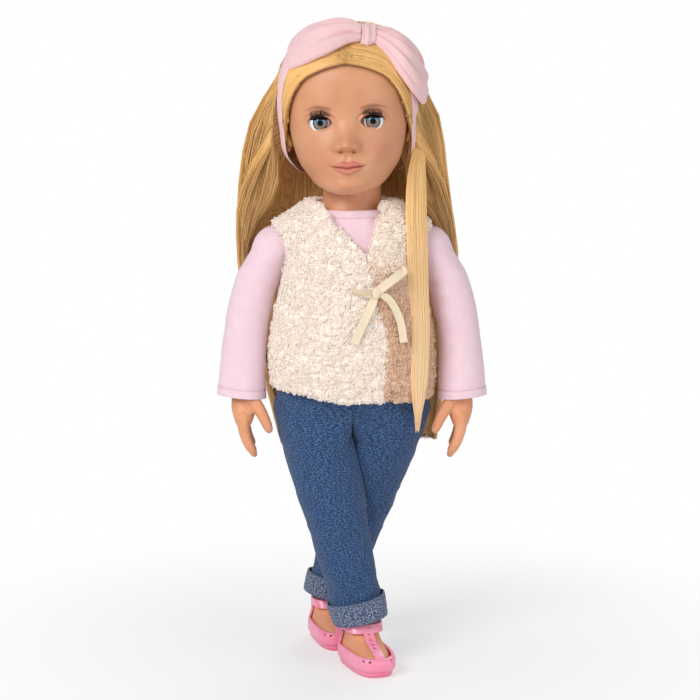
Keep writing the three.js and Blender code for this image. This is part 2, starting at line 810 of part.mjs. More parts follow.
function bowKnot() {
  const rings = [];
  for (let i = 0; i <= 4; i++) {
    const t = i / 4;
    const x = bowKnotX + mix(-4.9, 4.9, t);
    const swell = Math.sin(Math.PI * mix(0.22, 0.78, t));
    const ring = [];
    for (let k = 0; k < 12; k++) {
      const angle = (k / 12) * 2 * Math.PI;
      const height = chinHeight + 109.4 + 8.2 * swell * Math.cos(angle);
      ring.push(onHair(x, height, 6 + 4.2 * swell * Math.sin(angle)));
    }
    rings.push(ring);
  }
  return solid(loft(rings));
}

// Room behind the vest for the long hair to hang clear
function vestRoom() {
  const rings = [];
  for (let i = 0; i <= 6; i++) {
    rings.push(vestRing(mix(vestHemHeight - 1, vestTopHeight, i / 6), -clothGap - facetRoom, 20));
  }
  return solid(loft(rings));
}

// Trunk

const torsoTop = neckHeight + 3;
const torsoBottom = hipHeight - 20;

// A height between the hips and the neck
const trunkHeight = (share) => mix(hipHeight, neckHeight, share);

// Rows of height, half width, front, back for the stuffed torso
const torsoRows = [
  [torsoBottom, 14, -12, 14],
  [hipHeight - 14, 34, -22, 25],
  [hipHeight - 4, 46, -29, 33],
  [hipHeight + 12, 49, -31.5, 34],
  [hipHeight + 32, 47, -31.5, 31.5],
  [trunkHeight(0.394), 43, -31, 29],
  [trunkHeight(0.577), 41.5, -31.5, 29.5],
  [neckHeight - 34, 41, -31, 29],
  [neckHeight - 20, 42, -29, 28],
  [neckHeight - 10, 41, -26, 27],
  [neckHeight - 3, 34, -23.5, 26],
  [torsoTop, 27.5, -22.5, 25.5],
];

function torsoForm(grow, from, to, count = 20) {
  const rings = [];
  for (const z of levelsBetween(torsoRows, from, to)) {
    rings.push(
      oval({
        z,
        half: readRows(torsoRows, z, 1),
        front: -readRows(torsoRows, z, 2),
        back: readRows(torsoRows, z, 3),
        power: 2.3,
        count,
        grow,
      })
    );
  }
  return rings;
}

const shoulderRoom = (side, radius) => sphereRoom(radius, side * shoulderHalfSpacing, 0, shoulderHeight);
const hipRoom = (side, radius) => sphereRoom(radius, side * hipHalfSpacing, 0, hipHeight);
const discX = shoulderHalfSpacing - shoulderDiscInset;

// The shoulder stem and disc, grown by a clearance to cut their pocket
function shoulderPocket(side, grow) {
  const at = (a, b) => [Math.min(side * a, side * b), Math.max(side * a, side * b)];
  const [discLow, discHigh] = at(discX - shoulderDiscThickness - grow, discX + grow);
  const [stemLow, stemHigh] = at(discX - 0.5, shoulderHalfSpacing - 4);
  return rod('x', shoulderDiscRadius + grow, discLow, discHigh, 0, 0, shoulderHeight, 16).add(
    rod('x', shoulderStemRadius + grow, stemLow, stemHigh, 0, 0, shoulderHeight, 12)
  );
}

// Radius of a many-sided hole that a many-sided piece of the given radius turns in with its clearance
const turningHole = (radius) => (radius + clearance) / Math.cos(Math.PI / turnedSides);

// The seat that the neck and its flange turn in
function neckSeat() {
  const top = headBottom - clearance;
  const flange = turningHole(neckFlangeRadius);
  const stem = turningHole(neckStemRadius);
  const collar = turningHole(neckCollarRadius);
  return turned(
    [
      [0, top - neckFlangeThickness - clearance],
      [flange, top - neckFlangeThickness - clearance],
      [flange, top + clearance],
      [stem, top + clearance],
      [stem, headBottom + neckStemLength],
      [collar, neckHeight + neckCollarRise],
      [collar, neckHeight + 30],
      [0, neckHeight + 30],
    ],
    0,
    neckY
  );
}

const webHalf = hipHalfSpacing - jeansTopRadius - clothGap;
const shirtInner = clearance;
const shirtOuter = shirtInner + shirtThickness;
const vestInner = shirtOuter + clothGap;

// Room for the top of a trouser leg to hang from its hip
const trouserRoom = (leg) => trouserForm(leg, clothGap, -20, hipHeight - 30);

function torso() {
  let body = solid(loft(torsoForm(0, torsoBottom, torsoTop)));
  body = body.subtract(neckSeat());
  for (const side of [-1, 1]) {
    const inner = side > 0 ? webHalf : -70;
    const outer = side > 0 ? 70 : -webHalf;
    body = body
      .subtract(shoulderRoom(side, sleeveBallRadius + clothGap))
      .subtract(shoulderPocket(side, clearance))
      .subtract(hipRoom(side, jeansTopRadius + clothGap))
      .subtract(box(inner, outer, -60, 0, torsoBottom - 30, hipHeight + jeansTopRadius + 1.5))
      .subtract(box(inner, outer, -1, 60, torsoBottom - 30, hipHeight + 8));
  }
  for (const leg of Object.values(legs)) body = body.subtract(trouserRoom(leg));
  // The web between the legs holds both hip pins; it is round in front, where the trousers swing past it
  const web = rod('x', hipWebRadius - clearance, -webHalf - 1, webHalf + 1, 0, 0, hipHeight, 14);
  return body
    .subtract(box(-10, 10, -60, 60, torsoBottom - 30, hipHeight - hipWebRadius + 2))
    .subtract(box(-10, 10, -60, 0, torsoBottom - 30, hipHeight + hipWebRadius).subtract(web))
    .subtract(rod('x', hipPinRadius + clearance, -webHalf - 1, webHalf + 1, 0, 0, hipHeight, 8));
}

function shirtBody() {
  const inside = torsoForm(shirtInner, shirtBottom - 3, torsoTop + shirtInner);
  const outside = torsoForm(shirtOuter, shirtBottom, torsoTop + shirtOuter);
  const cloth = solid(loft(outside)).subtract(solid(loft(inside)));
  const collar = turned(
    [
      [0, torsoTop - 25],
      [turningHole(neckCollarRadius), torsoTop - 25],
      [turningHole(neckCollarRadius), torsoTop + 15],
      [0, torsoTop + 15],
    ],
    0,
    neckY
  );
  return cloth
    .subtract(collar)
    .subtract(shoulderRoom(-1, sleeveBallRadius + clothGap))
    .subtract(shoulderRoom(1, sleeveBallRadius + clothGap))
    .subtract(shoulderPocket(-1, clearance))
    .subtract(shoulderPocket(1, clearance));
}

const vestTopHeight = neckHeight + 9;

// Rows of height, half width, front, back for the outside of the vest
const vestRows = [
  [vestHemHeight, 57.5, -42.5, 40],
  [vestHemHeight + 10, 59.5, -44, 41],
  [hipHeight + 42, 59, -44.2, 41],
  [trunkHeight(0.465), 56.5, -43, 40],
  [trunkHeight(0.62), 51.5, -42, 39.5],
  [neckHeight - 38, 48.5, -41, 39],
  [neckHeight - 24, 50, -39, 38.5],
  [neckHeight - 13, 54.5, -36, 37.5],
  [neckHeight - 6, 57, -32.5, 36],
  [neckHeight - 1, 54, -30.5, 35],
  [neckHeight + 4, 43, -29.5, 34],
  [vestTopHeight, 33, -28.5, 33],
];

function vestRing(z, inset, count) {
  return oval({
    z,
    half: readRows(vestRows, z, 1),
    front: -readRows(vestRows, z, 2),
    back: readRows(vestRows, z, 3),
    power: 2.35,
    count,
    grow: -inset,
  });
}

function vestShell() {
  const outer = [];
  for (let i = 0; i <= 9; i++) outer.push(vestRing(mix(vestHemHeight, vestTopHeight, i / 9), 0, 22));
  const lower = [];
  for (let i = 0; i <= 2; i++) {
    lower.push(vestRing(mix(vestHemHeight - 4, shirtBottom + 28, i / 2), vestThickness, 20));
  }
  const upper = torsoForm(vestInner, shirtBottom - 10, torsoTop + vestInner);
  upper.push(
    oval({
      z: torsoTop + 15,
      y: neckY,
      half: neckRadius + 5.5,
      front: neckRadius + 5.5,
      back: neckRadius + 4,
      count: 20,
    })
  );
  let shell = solid(loft(outer)).subtract(solid(loft(lower))).subtract(solid(loft(upper)));
  const sleeve = loft(sleeveForm(clothGap, 0, 60));
  for (const [side, room] of [[1, sleeve], [-1, mirroredGeometry(sleeve)]]) {
    shell = shell
      .subtract(solid(room))
      .subtract(shoulderRoom(side, sleeveBallRadius + clothGap))
      .subtract(hipRoom(side, jeansTopRadius + clothGap));
  }
  return shell.subtract(jeansHipForm(clothGap));
}

// The neckline and the front edge of the overlapping panel, seen from the front
const neckLeft = [22, neckHeight + 22];
const neckLeftLow = [19.5, neckHeight];
const neckRight = [-26.5, neckHeight + 14];
const neckRightLow = [-14, neckHeight - 4];
const wrapTop = [10.4, neckHeight - 28];
const wrapLow = [25, vestHemHeight + 40];
const wrapHem = [21, vestHemHeight - 12];

function vestPanels() {
  const shell = vestShell();
  const half = 80;
  const gap = clothGap / 2;
  const bottom = wrapHem[1];
  const top = neckHeight + 23;
  const overOutline = [[-half, bottom], wrapHem, wrapLow, wrapTop, neckRightLow, neckRight, [-half, top]];
  const underOutline = [wrapHem, [half, bottom], [half, top], neckLeft, neckLeftLow, wrapTop, wrapLow];
  const moved = (outline, step) => outline.map(([x, z]) => [x + step, z]);
  const over = frontPrism(moved(overOutline, -gap), -80, -gap);
  const under = frontPrism(moved(underOutline, gap), -80, -gap);
  const back = box(-half, half, gap, 80, bottom, top);
  return { over: shell.intersect(over), under: shell.intersect(under), back: shell.intersect(back) };
}

// The ribbon tie lies on the vest where the front panel crosses over
const ribbonKnot = [17, neckHeight - 51.5];

function onVest(x, z, lift) {
  const half = readRows(vestRows, z, 1);
  const front = -readRows(vestRows, z, 2);
  const across = Math.min(Math.abs(x) / half, 0.97);
  return point(x, -front * (1 - across ** 2.35) ** (1 / 2.35) - lift, z);
}

function ribbonStrip(path, lifts, halfWidth) {
  const points = path.map(([x, z], i) => onVest(x, z, lifts[i]).toArray());
  return solid(
    sweptStrip(points, () => halfWidth, () => ribbonThickness / 1.4, 6, () => point(0.1, -1, 0), 4)
  );
}

function vestRibbon() {
  const [x, z] = ribbonKnot;
  const half = ribbonWidth / 2;
  const at = onVest(x, z, 2.6);
  const knotForm = new THREE.SphereGeometry(1, 8, 6).scale(3.4, 1.9, 3.1);
  const knotSolid = solid(knotForm.translate(at.x, at.y, at.z));
  const strips = [
    ribbonStrip([[x, z], [x - 7, z - 2], [x - 16, z + 1.5]], [2.4, 3.2, 1.4], half * 0.8),
    ribbonStrip([[x, z], [x + 8, z + 7], [x + 19, z + 14]], [2.4, 3.6, 1.6], half),
    ribbonStrip([[x, z], [x - 5, z - 14], [x - 14, z - 35]], [2.4, 1.8, 1.6], half),
    ribbonStrip([[x, z], [x + 9, z - 12], [x + 19, z - 35]], [2.4, 1.8, 1.6], half),
  ];
  return knotSolid.add(union(strips));
}

// Arms, built for the doll's left; the right one is the mirror image

// Rows of distance below the shoulder, centre x, centre y, half width, half depth
const armRows = [
  [-armTopRadius, 0, 0, 3, 3],
  [-10.5, 0, 0, 6.8, 6.8],
  [-6, 0, 0, 11, 11],
  [0, 1, 0, armTopRadius, armTopRadius],
  [12, 7, 0, upperArmRadius + 0.5, upperArmRadius + 0.5],
  [30, 15, 0.5, upperArmRadius, upperArmRadius],
  [55, 21, 0, upperArmRadius - 0.6, upperArmRadius - 0.4],
  [80, 23.5, -4, wristRadius + 1, wristRadius + 0.8],
  [103, 23.5, -8, wristRadius, wristRadius - 1.2],
  [113, 23, -9.5, wristRadius + 1, wristRadius - 2.4],
  [123, 21.5, -11, wristRadius + 0.6, wristRadius - 3.2],
  [130, 19.5, -12, wristRadius - 1.4, wristRadius - 4],
];

function finger(points, radii) {
  const rings = points.map((p, i) => {
    const ring = [];
    for (let k = 0; k < 6; k++) {
      const angle = (k / 6) * 2 * Math.PI;
      ring.push(point(p[0] + Math.cos(angle) * radii[i], p[1] + Math.sin(angle) * radii[i], p[2]));
    }
    return ring;
  });
  return solid(loft(rings.reverse()));
}

function armForm(grow, count = 12) {
  const rings = [];
  const top = armRows[0][0];
  const tip = armRows[armRows.length - 1][0];
  for (const [d] of [...armRows].reverse()) {
    const lift = grow * (d === top ? 1 : 0) - grow * (d === tip ? 1 : 0);
    rings.push(
      oval({
        x: shoulderHalfSpacing + readRows(armRows, d, 1),
        y: readRows(armRows, d, 2),
        z: shoulderHeight - d + lift,
        half: readRows(armRows, d, 3),
        front: readRows(armRows, d, 4),
        back: readRows(armRows, d, 4),
        power: 2.1,
        count,
        grow,
      })
    );
  }
  return rings;
}

function armLeft() {
  const x = shoulderHalfSpacing;
  const z = shoulderHeight;
  const arm = solid(loft(armForm(0)));
  const stem = rod('x', shoulderStemRadius, discX + 0.3, x - 4, 0, 0, z, 10);
  const reach = -12;
  const fingers = [-8, -3, 2, 6.5].map((dy, i) => {
    const long = [20, 23, 22, 17][i];
    const base = [x + 20, reach + dy * 0.75 + 1, z - 124];
    const bend = [x + 17.5, reach + dy * 0.8, z - 124 - long * 0.55];
    const tip = [x + 14, reach + dy * 0.8 - 0.5, z - 124 - long * 0.95];
    const end = [x + 13, reach + dy * 0.8 - 0.5, z - 124 - long];
    return finger([base, bend, tip, end], [2.9, 2.6, 2, 0.9]);
  });
  const thumb = finger(
    [
      [x + 17, reach - 2, z - 108.5],
      [x + 9.5, reach - 6, z - 117],
      [x + 5.8, reach - 8, z - 127],
      [x + 5, reach - 8.5, z - 129],
    ],
    [4.8, 3.6, 2.6, 1.1]
  );
  return arm.add(stem).add(union(fingers)).add(thumb);
}

function shoulderDisc() {
  return rod('x', shoulderDiscRadius, discX - shoulderDiscThickness, discX, 0, 0, shoulderHeight, 16);
}

// Rows of distance below the shoulder, centre x, centre y, half width, half depth of the sleeve
const sleeveRows = [
  [-16, 0, 0, 5.7, 5.7],
  [-12, 0, 0, 12, 12],
  [-6, 0.5, 0, 15.9, 15.9],
  [0, 1.5, 0, sleeveBallRadius, sleeveBallRadius],
  [8, 6, 0, sleeveBallRadius - 0.2, sleeveBallRadius - 0.2],
  [18, 12, 0, 16.5, 15.5],
  [35, 18, 0, 15.6, 14.6],
  [58, 22.5, -1, 15.4, 14.2],
  [85, 25, -4, 16.4, 14.6],
  [107, 25.6, -7, 17.6, 15.2],
];

function sleeveForm(grow, from, to) {
  const rings = [];
  for (const d of levelsBetween(sleeveRows, from, to).reverse()) {
    rings.push(
      oval({
        x: shoulderHalfSpacing + readRows(sleeveRows, d, 1),
        y: readRows(sleeveRows, d, 2),
        z: shoulderHeight - d,
        half: readRows(sleeveRows, d, 3),
        front: readRows(sleeveRows, d, 4),
        back: readRows(sleeveRows, d, 4),
        count: 14,
        grow,
      })
    );
  }
  return rings;
}

function sleeveLeft() {
  const outer = solid(loft(sleeveForm(0, -16, 107)));
  const hollow = solid(loft(sleeveForm(-sleeveWall, 20, 112)));
  const arm = solid(loft(armForm(clearance)));
  const inside = box(0, shoulderHalfSpacing - 7, -40, 40, shoulderHeight - 30, shoulderHeight + 30);
  const stem = rod('x', shoulderStemRadius + clearance, 30, shoulderHalfSpacing, 0, 0, shoulderHeight, 10);
  return outer.subtract(hollow).subtract(arm).subtract(inside).subtract(stem);
}

// Legs. Each leg runs from its hip to its own ankle, so the two differ in the crossed stance

const legs = {
  left: { side: 1, ankle: rearAnkle },
  right: { side: -1, ankle: frontAnkle },
};

// Share of the way from the hip to the ankle at a height
const legShare = (z) => THREE.MathUtils.clamp((hipHeight - z) / (hipHeight - ankleHeight), 0, 1);

function legCentre(leg, z) {
  const t = legShare(z);
  return { x: mix(leg.side * hipHalfSpacing, leg.ankle.x, t), y: mix(0, leg.ankle.y, t) };
}

// Where the clothed legs press on each other both are flattened against the plane between them
function pressed(ring, leg, z, gap) {
  const own = legCentre(leg, z);
  const other = legCentre(leg === legs.left ? legs.right : legs.left, z);
  const away = new THREE.Vector2(other.x - own.x, other.y - own.y);
  const reach = away.length() / 2 - gap;
  away.normalize();
  ring.forEach((p) => {
    const out = (p.x - own.x) * away.x + (p.y - own.y) * away.y;
    if (out > reach) {
      p.x -= away.x * (out - reach);
      p.y -= away.y * (out - reach);
    }
  });
  return ring;
}

// Rows of height, half width, half depth of the bare leg, from the ankle up
const legRows = [
  [ankleHeight, ankleRadius, ankleRadius],
  [ankleHeight + 14, 11.5, 12],
  [legHeight(0.257), calfRadius, calfRadius + 0.8],
  [legHeight(0.405), calfRadius - 0.6, calfRadius],
  [legHeight(0.5), kneeRadius, kneeRadius + 0.6],
  [legHeight(0.595), kneeRadius, kneeRadius],
  [hipHeight - 35, 18.4, 18.4],
  [hipHeight - 8, legTopRadius - 0.4, legTopRadius - 0.4],
  [hipHeight, legTopRadius, legTopRadius],
];

// Rows of height above the sole, heel reach, toe reach, half width, across the foot
const footRows = [
  [0, 15.5, 38, footHalfWidth - 1.5],
  [3, 17.5, 40.5, footHalfWidth],
  [7, 18, 40.5, footHalfWidth],
  [10.5, 17.5, 38, footHalfWidth - 0.4],
  [14, 16.5, 29, footHalfWidth - 1.4],
  [18, 15, 20.5, footHalfWidth - 2.2],
  [23, 13, 14.5, footHalfWidth - 2],
  [ankleHeight - shoeSole - clearance, 10.5, 10.5, ankleRadius],
];
const footScale = footLength / 58.5;
const footBase = shoeSole + clearance;

// One level of a foot or shoe: an oval longer in front, turned by the foot's yaw
function footRing(leg, z, rows, grow, growToe, count) {
  const level = z - footBase;
  const heel = readRows(rows, level, 1) * footScale + grow;
  const toe = readRows(rows, level, 2) * footScale + growToe;
  const half = readRows(rows, level, 3) + grow;
  const yaw = leg.ankle.yaw * degrees;
  const ring = [];
  for (let i = 0; i < count; i++) {
    const angle = (i / count) * 2 * Math.PI;
    const c = Math.cos(angle);
    const s = Math.sin(angle);
    const power = s < 0 ? 2 / 2.6 : 2 / 2.1;
    const across = Math.sign(c) * Math.abs(c) ** power * half * (s < 0 ? 1 : 1 - 0.12 * s);
    const along = Math.sign(s) * Math.abs(s) ** power * (s < 0 ? toe : heel);
    ring.push(
      point(
        leg.ankle.x + across * Math.cos(yaw) - along * Math.sin(yaw),
        leg.ankle.y + across * Math.sin(yaw) + along * Math.cos(yaw),
        z
      )
    );
  }
  return ring;
}

const footForm = (leg, grow, count) =>
  footRows.map(([level]) => footRing(leg, footBase + level, footRows, grow, grow, count));

function shinForm(leg, grow, from, to, count = 14) {
  const rings = [];
  for (const z of levelsBetween(legRows, from, to)) {
    const half = readRows(legRows, z, 1);
    const deep = readRows(legRows, z, 2);
    const centre = legCentre(leg, z);
    const ring = oval({ ...centre, z, half, front: deep, back: deep, count, grow });
    rings.push(pressed(ring, leg, z, 1.6 - grow));
  }
  return rings;
}

// A bare leg from below the ankle to the dome at the hip
const limbForm = (leg, grow, from) =>
  solid(
    loft([
      ...shinForm(leg, grow, from, hipHeight),
      ...dome(legTopRadius + grow, leg.side * hipHalfSpacing, 0, hipHeight, 14, 2),
    ])
  );

// The slot that lets the leg spread past the hip pin, in the XZ plane through the hip
function pinSlot(leg, radius, halfDepth) {
  const x = leg.side * hipHalfSpacing;
  const reach = 36;
  const spare = 5 * degrees;
  const start = point(-leg.side, 0, 0);
  const outline = [[x, hipHeight - radius]];
  for (let i = 0; i <= 4; i++) {
    const angle = mix(-spare, hipSpread * degrees + spare, i / 4);
    outline.push([x + start.x * reach * Math.cos(angle), hipHeight + reach * Math.sin(angle)]);
  }
  outline.push([x, hipHeight + radius]);
  if (leg.side < 0) outline.reverse();
  return frontPrism(outline, -halfDepth, halfDepth);
}

function vinylLeg(leg) {
  const foot = footForm(leg, 0, 18);
  const pin = hipPinRadius + clearance;
  return limbForm(leg, 0, ankleHeight - 6)
    .add(solid(loft(foot)))
    .subtract(sphereRoom(hipBallRadius + clearance, leg.side * hipHalfSpacing, 0, hipHeight, 10, 8))
    .subtract(pinSlot(leg, pin, pin));
}

// The ball that the leg turns on, with the pin that turns in the torso's web
function hipSwivel(leg) {
  const ends = [leg.side * clearance, leg.side * hipHalfSpacing].sort((a, b) => a - b);
  const ball = sphere(hipBallRadius, leg.side * hipHalfSpacing, 0, hipHeight, 12, 8);
  return ball.add(rod('x', hipPinRadius, ends[0], ends[1], 0, 0, hipHeight, 8));
}

// Jeans: rows of height, half width, half depth of a trouser leg
const jeansRows = [
  [jeansHemHeight, 17.4, 17.6],
  [jeansHemHeight + 17, 18.2, 18.4],
  [legHeight(0.29), 20.6, 19.6],
  [legHeight(0.46), 23, 20.6],
  [legHeight(0.63), 25.2, 22.4],
  [hipHeight - 30, 27, 25.4],
  [hipHeight - 12, jeansTopRadius, jeansTopRadius - 0.3],
  [hipHeight, jeansTopRadius, jeansTopRadius],
];

function jeansForm(leg, grow, from, to, gap, count = 18) {
  const rings = [];
  for (const z of levelsBetween(jeansRows, from, to)) {
    const half = readRows(jeansRows, z, 1);
    const deep = readRows(jeansRows, z, 2);
    const centre = legCentre(leg, z);
    const ring = oval({ ...centre, z, half, front: deep, back: deep, power: 2.1, count, grow });
    rings.push(pressed(ring, leg, z, gap));
  }
  return rings;
}

// A trouser leg from its hem to the dome at the hip
const trouserForm = (leg, grow, gap, from = jeansHemHeight) =>
  solid(
    loft([
      ...jeansForm(leg, grow, from, hipHeight, gap - grow),
      ...dome(jeansTopRadius + grow, leg.side * hipHalfSpacing, 0, hipHeight, 18, 2.1),
    ])
  );

function jeansLeg(leg) {
  const outer = trouserForm(leg, 0, 0.25);
  const hollow = solid(loft(jeansForm(leg, -jeansWall, jeansHemHeight - 3, hipHeight - 60, 2.5)));
  const limb = limbForm(leg, clearance, ankleHeight - 8);
  const pin = hipPinRadius + clearance;
  const inner = [leg.side * (webHalf + clothGap), -leg.side * hipHalfSpacing].sort((a, b) => a - b);
  const web = rod('x', hipWebRadius + clearance, inner[0], inner[1], 0, 0, hipHeight, 14);
  const cloth = outer.subtract(hollow).subtract(limb).subtract(web).subtract(pinSlot(leg, pin, pin));
  // The rear leg gives way to the front leg where they cross
  return leg === legs.left ? largest(cloth.subtract(trouserForm(legs.right, clothGap, 0.25))) : cloth;
}

// The turned-up hem: a band round the bottom of the trouser leg, a little wider at its top edge
function jeansCuff(leg) {
  const rings = [0, 0.5, 1].map((t) => {
    const z = mix(jeansHemHeight - 0.8, jeansHemHeight + cuffHeight, t);
    const grow = clearance + 0.3 + cuffThickness + 0.4 * t;
    return jeansForm(leg, grow, z, z + 1, 0.25)[0].map((p) => point(p.x, p.y, z));
  });
  const hole = jeansForm(leg, clearance + 0.3, jeansHemHeight - 3, jeansHemHeight + cuffHeight + 3, -9);
  return solid(loft(rings)).subtract(solid(loft(hole)));
}

// The seat and front of the jeans, between the legs and under the vest
const jeansHipRows = [
  [hipHeight - 16, 20, -17, 19],
  [hipHeight - 12, 38, -25, 27],
  [hipHeight - 5, 50, -30.5, 33],
  [hipHeight + 6, 54.5, -34, 36.5],
  [hipHeight + 20, 53.5, -35, 36],
  [jeansWaistHeight, 49.5, -33.5, 33.8],
];

function jeansHipForm(grow) {
  const rings = [];
  for (const [z] of jeansHipRows) {
    rings.push(
      oval({
        z,
        half: readRows(jeansHipRows, z, 1),
        front: -readRows(jeansHipRows, z, 2),
        back: readRows(jeansHipRows, z, 3),
        power: 2.35,
        count: 22,
        grow,
      })
    );
  }
  return solid(loft(rings));
}

function jeansHips() {
  const inside = torsoForm(clearance, torsoBottom, jeansWaistHeight + 4);
  let hips = jeansHipForm(0).subtract(solid(loft(inside)));
  for (const leg of Object.values(legs)) {
    hips = hips
      .subtract(trouserRoom(leg))
      .subtract(box(-jeansTopRadius, jeansTopRadius, -26, 26, hipHeight - 30, hipHeight + 30));
  }
  return largest(hips);
}

// Shoes: one moulding with a toe cap, heel counter, ankle strap and T-strap

function shoe(leg) {
  const top = ankleHeight - 0.4;
  const outer = [];
  for (const z of [0, 1.2, 3.5, 9, 13, 17, 21.5, 26.5, top]) {
    const tuck = z < 1 ? -1.2 : 0;
    const grow = shoeWall + clearance + tuck;
    const ring = footRing(leg, Math.max(z, footBase), footRows, grow, grow + 1, 18);
    outer.push(ring.map((p) => point(p.x, p.y, z)));
  }
  const inner = footForm(leg, clearance, 18);
  inner[0].forEach((p) => (p.z = shoeSole));
  const ankle = shinForm(leg, clearance, ankleHeight - 6, ankleHeight + 3);
  const shell = solid(loft(outer)).subtract(solid(loft(inner))).subtract(solid(loft(ankle)));
  const strapLow = top - shoeStrapHeight;
  const window = (low, high, back) => {
    const x0 = Math.min(low, high);
    const x1 = Math.max(low, high);
    const shape = new THREE.BoxGeometry(x1 - x0, 60 + back, strapLow - shoeVampHeight);
    shape.translate((x0 + x1) / 2, (back - 60) / 2, (strapLow + shoeVampHeight) / 2);
    shape.rotateZ(leg.ankle.yaw * degrees).translate(leg.ankle.x, leg.ankle.y, 0);
    return solid(shape);
  };
  return shell
    .subtract(window(tStrapHalfWidth, 30, 4))
    .subtract(window(-tStrapHalfWidth, -30, 4));
}

// Assembly

const finishes = {
  vinyl: { color: 0xd99b76, roughness: 0.5, metalness: 0 },
  plastic: { color: 0xe8e4dc, roughness: 0.4, metalness: 0 },
  eye: { color: 0xf4f3ef, roughness: 0.1, metalness: 0 },
  lash: { color: 0x1c1512, roughness: 0.7, metalness: 0 },
  steel: { color: 0x8d9094, roughness: 0.4, metalness: 1 },
  hair: { color: 0xd2a35f, roughness: 0.5, metalness: 0 },
  palePink: { color: 0xf4c3cb, roughness: 0.9, metalness: 0 },
  jersey: { color: 0xf3d2e2, roughness: 0.9, metalness: 0 },
  muslin: { color: 0xe9cdb4, roughness: 0.95, metalness: 0 },
  pile: { color: 0xefe4da, roughness: 1, metalness: 0 },
  satin: { color: 0xe6d6ae, roughness: 0.4, metalness: 0 },
  denim: { color: 0x365c8d, roughness: 0.95, metalness: 0 },
  denimInside: { color: 0x7487ae, roughness: 0.95, metalness: 0 },
  shoeVinyl: { color: 0xff7fa3, roughness: 0.3, metalness: 0 },
};

function named(name, geometry, finish) {
  const mesh = new THREE.Mesh(geometry, new THREE.MeshStandardMaterial(finishes[finish]));
  mesh.name = name;
  return mesh;
}

const doll = new THREE.Group();
const add = (parent, name, made, finish) => parent.add(named(name, geometryOf(made), finish));

// A pair of arm pieces from one geometry
function addPair(parent, name, made, finish) {
  const geometry = geometryOf(made);
  parent.add(named(`${name}_left`, geometry, finish));
  parent.add(named(`${name}_right`, mirroredGeometry(geometry), finish));
}

// Pieces on the torso
add(doll, 'torso', torso(), 'muslin');
add(doll, 'shirt_body', shirtBody(), 'jersey');
const vest = vestPanels();
add(doll, 'vest_back', vest.back, 'pile');
add(doll, 'vest_front_left', vest.under, 'pile');
add(doll, 'vest_front_right', vest.over, 'pile');
add(doll, 'vest_ribbon', vestRibbon(), 'satin');
add(doll, 'jeans_hips', jeansHips(), 'denim');

// Pieces on the head
const head = new THREE.Group();
head.name = 'head';
add(head, 'head_shell', headShell(), 'vinyl');
add(head, 'neck_flange', neckFlange(), 'plastic');
const band = bandForm();
const bandRoom = bandForm(clearance);
const onHead = (made) => posed(made.subtract(bandRoom));
const bowRoom = hairForm(clearance);
const earRoom = ear(1, 0.6).add(ear(-1, 0.6));
add(head, 'hair_cap', largest(onHead(hairCap())), 'hair');
const backHair = onHead(hairBack().subtract(hairForm(clothGap)).subtract(earRoom));
add(head, 'hair_back', largest(backHair.subtract(vestRoom())), 'hair');
add(head, 'hair_front_lock', hairFrontLock(), 'hair');
add(head, 'headband', posed(band), 'palePink');
add(head, 'bow_loop_left', onHead(bowLoop(bowLoopLeftRows).subtract(bowRoom)), 'palePink');
add(head, 'bow_loop_right', onHead(bowLoop(bowLoopRightRows).subtract(bowRoom)), 'palePink');
add(head, 'bow_knot', onHead(bowKnot().subtract(bowRoom)), 'palePink');
doll.add(head);

// Sleep eyes
for (const [name, side] of [['left', 1], ['right', -1]]) {
  add(head, `eye_cup_${name}`, posed(eyeCup(side)), 'plastic');
  add(head, `eyeball_${name}`, posed(eyeball(side)), 'eye');
  add(head, `eyelash_${name}`, posed(eyelash(side)), 'lash');
  add(head, `eye_weight_${name}`, posed(eyeWeight(side)), 'steel');
}

// Arms
addPair(doll, 'arm', armLeft(), 'vinyl');
addPair(doll, 'shoulder_disc', shoulderDisc(), 'plastic');
addPair(doll, 'sleeve', sleeveLeft(), 'jersey');

// Legs
for (const [name, leg] of Object.entries(legs)) {
  add(doll, `hip_swivel_${name}`, hipSwivel(leg), 'plastic');
  add(doll, `leg_${name}`, vinylLeg(leg), 'vinyl');
  add(doll, `jeans_leg_${name}`, jeansLeg(leg), 'denim');
  add(doll, `jeans_cuff_${name}`, jeansCuff(leg), 'denimInside');
  add(doll, `shoe_${name}`, shoe(leg), 'shoeVinyl');
}

// The origin is the middle of the doll's footprint box, on the ground
const bounds = new THREE.Box3().setFromObject(doll, true);
const middle = bounds.getCenter(point(0, 0, 0));
doll.position.set(-middle.x, -middle.y, -bounds.min.z);

export default doll;
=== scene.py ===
# %% [markdown]
# # A dressed vinyl play doll
# The doll stands with crossed legs. Its head, arms and legs are soft vinyl on a stuffed cloth torso. It
# wears a headband with a bow, a jersey shirt, a pile vest with a ribbon tie, jeans with turned-up cuffs and
# T-strap shoes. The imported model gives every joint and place. Each cell below dresses one piece of it, from
# the skin outward.

import math

import bmesh
import bpy
import numpy as np
from mathutils import Matrix, Vector
from mathutils.bvhtree import BVHTree
from mathutils.kdtree import KDTree


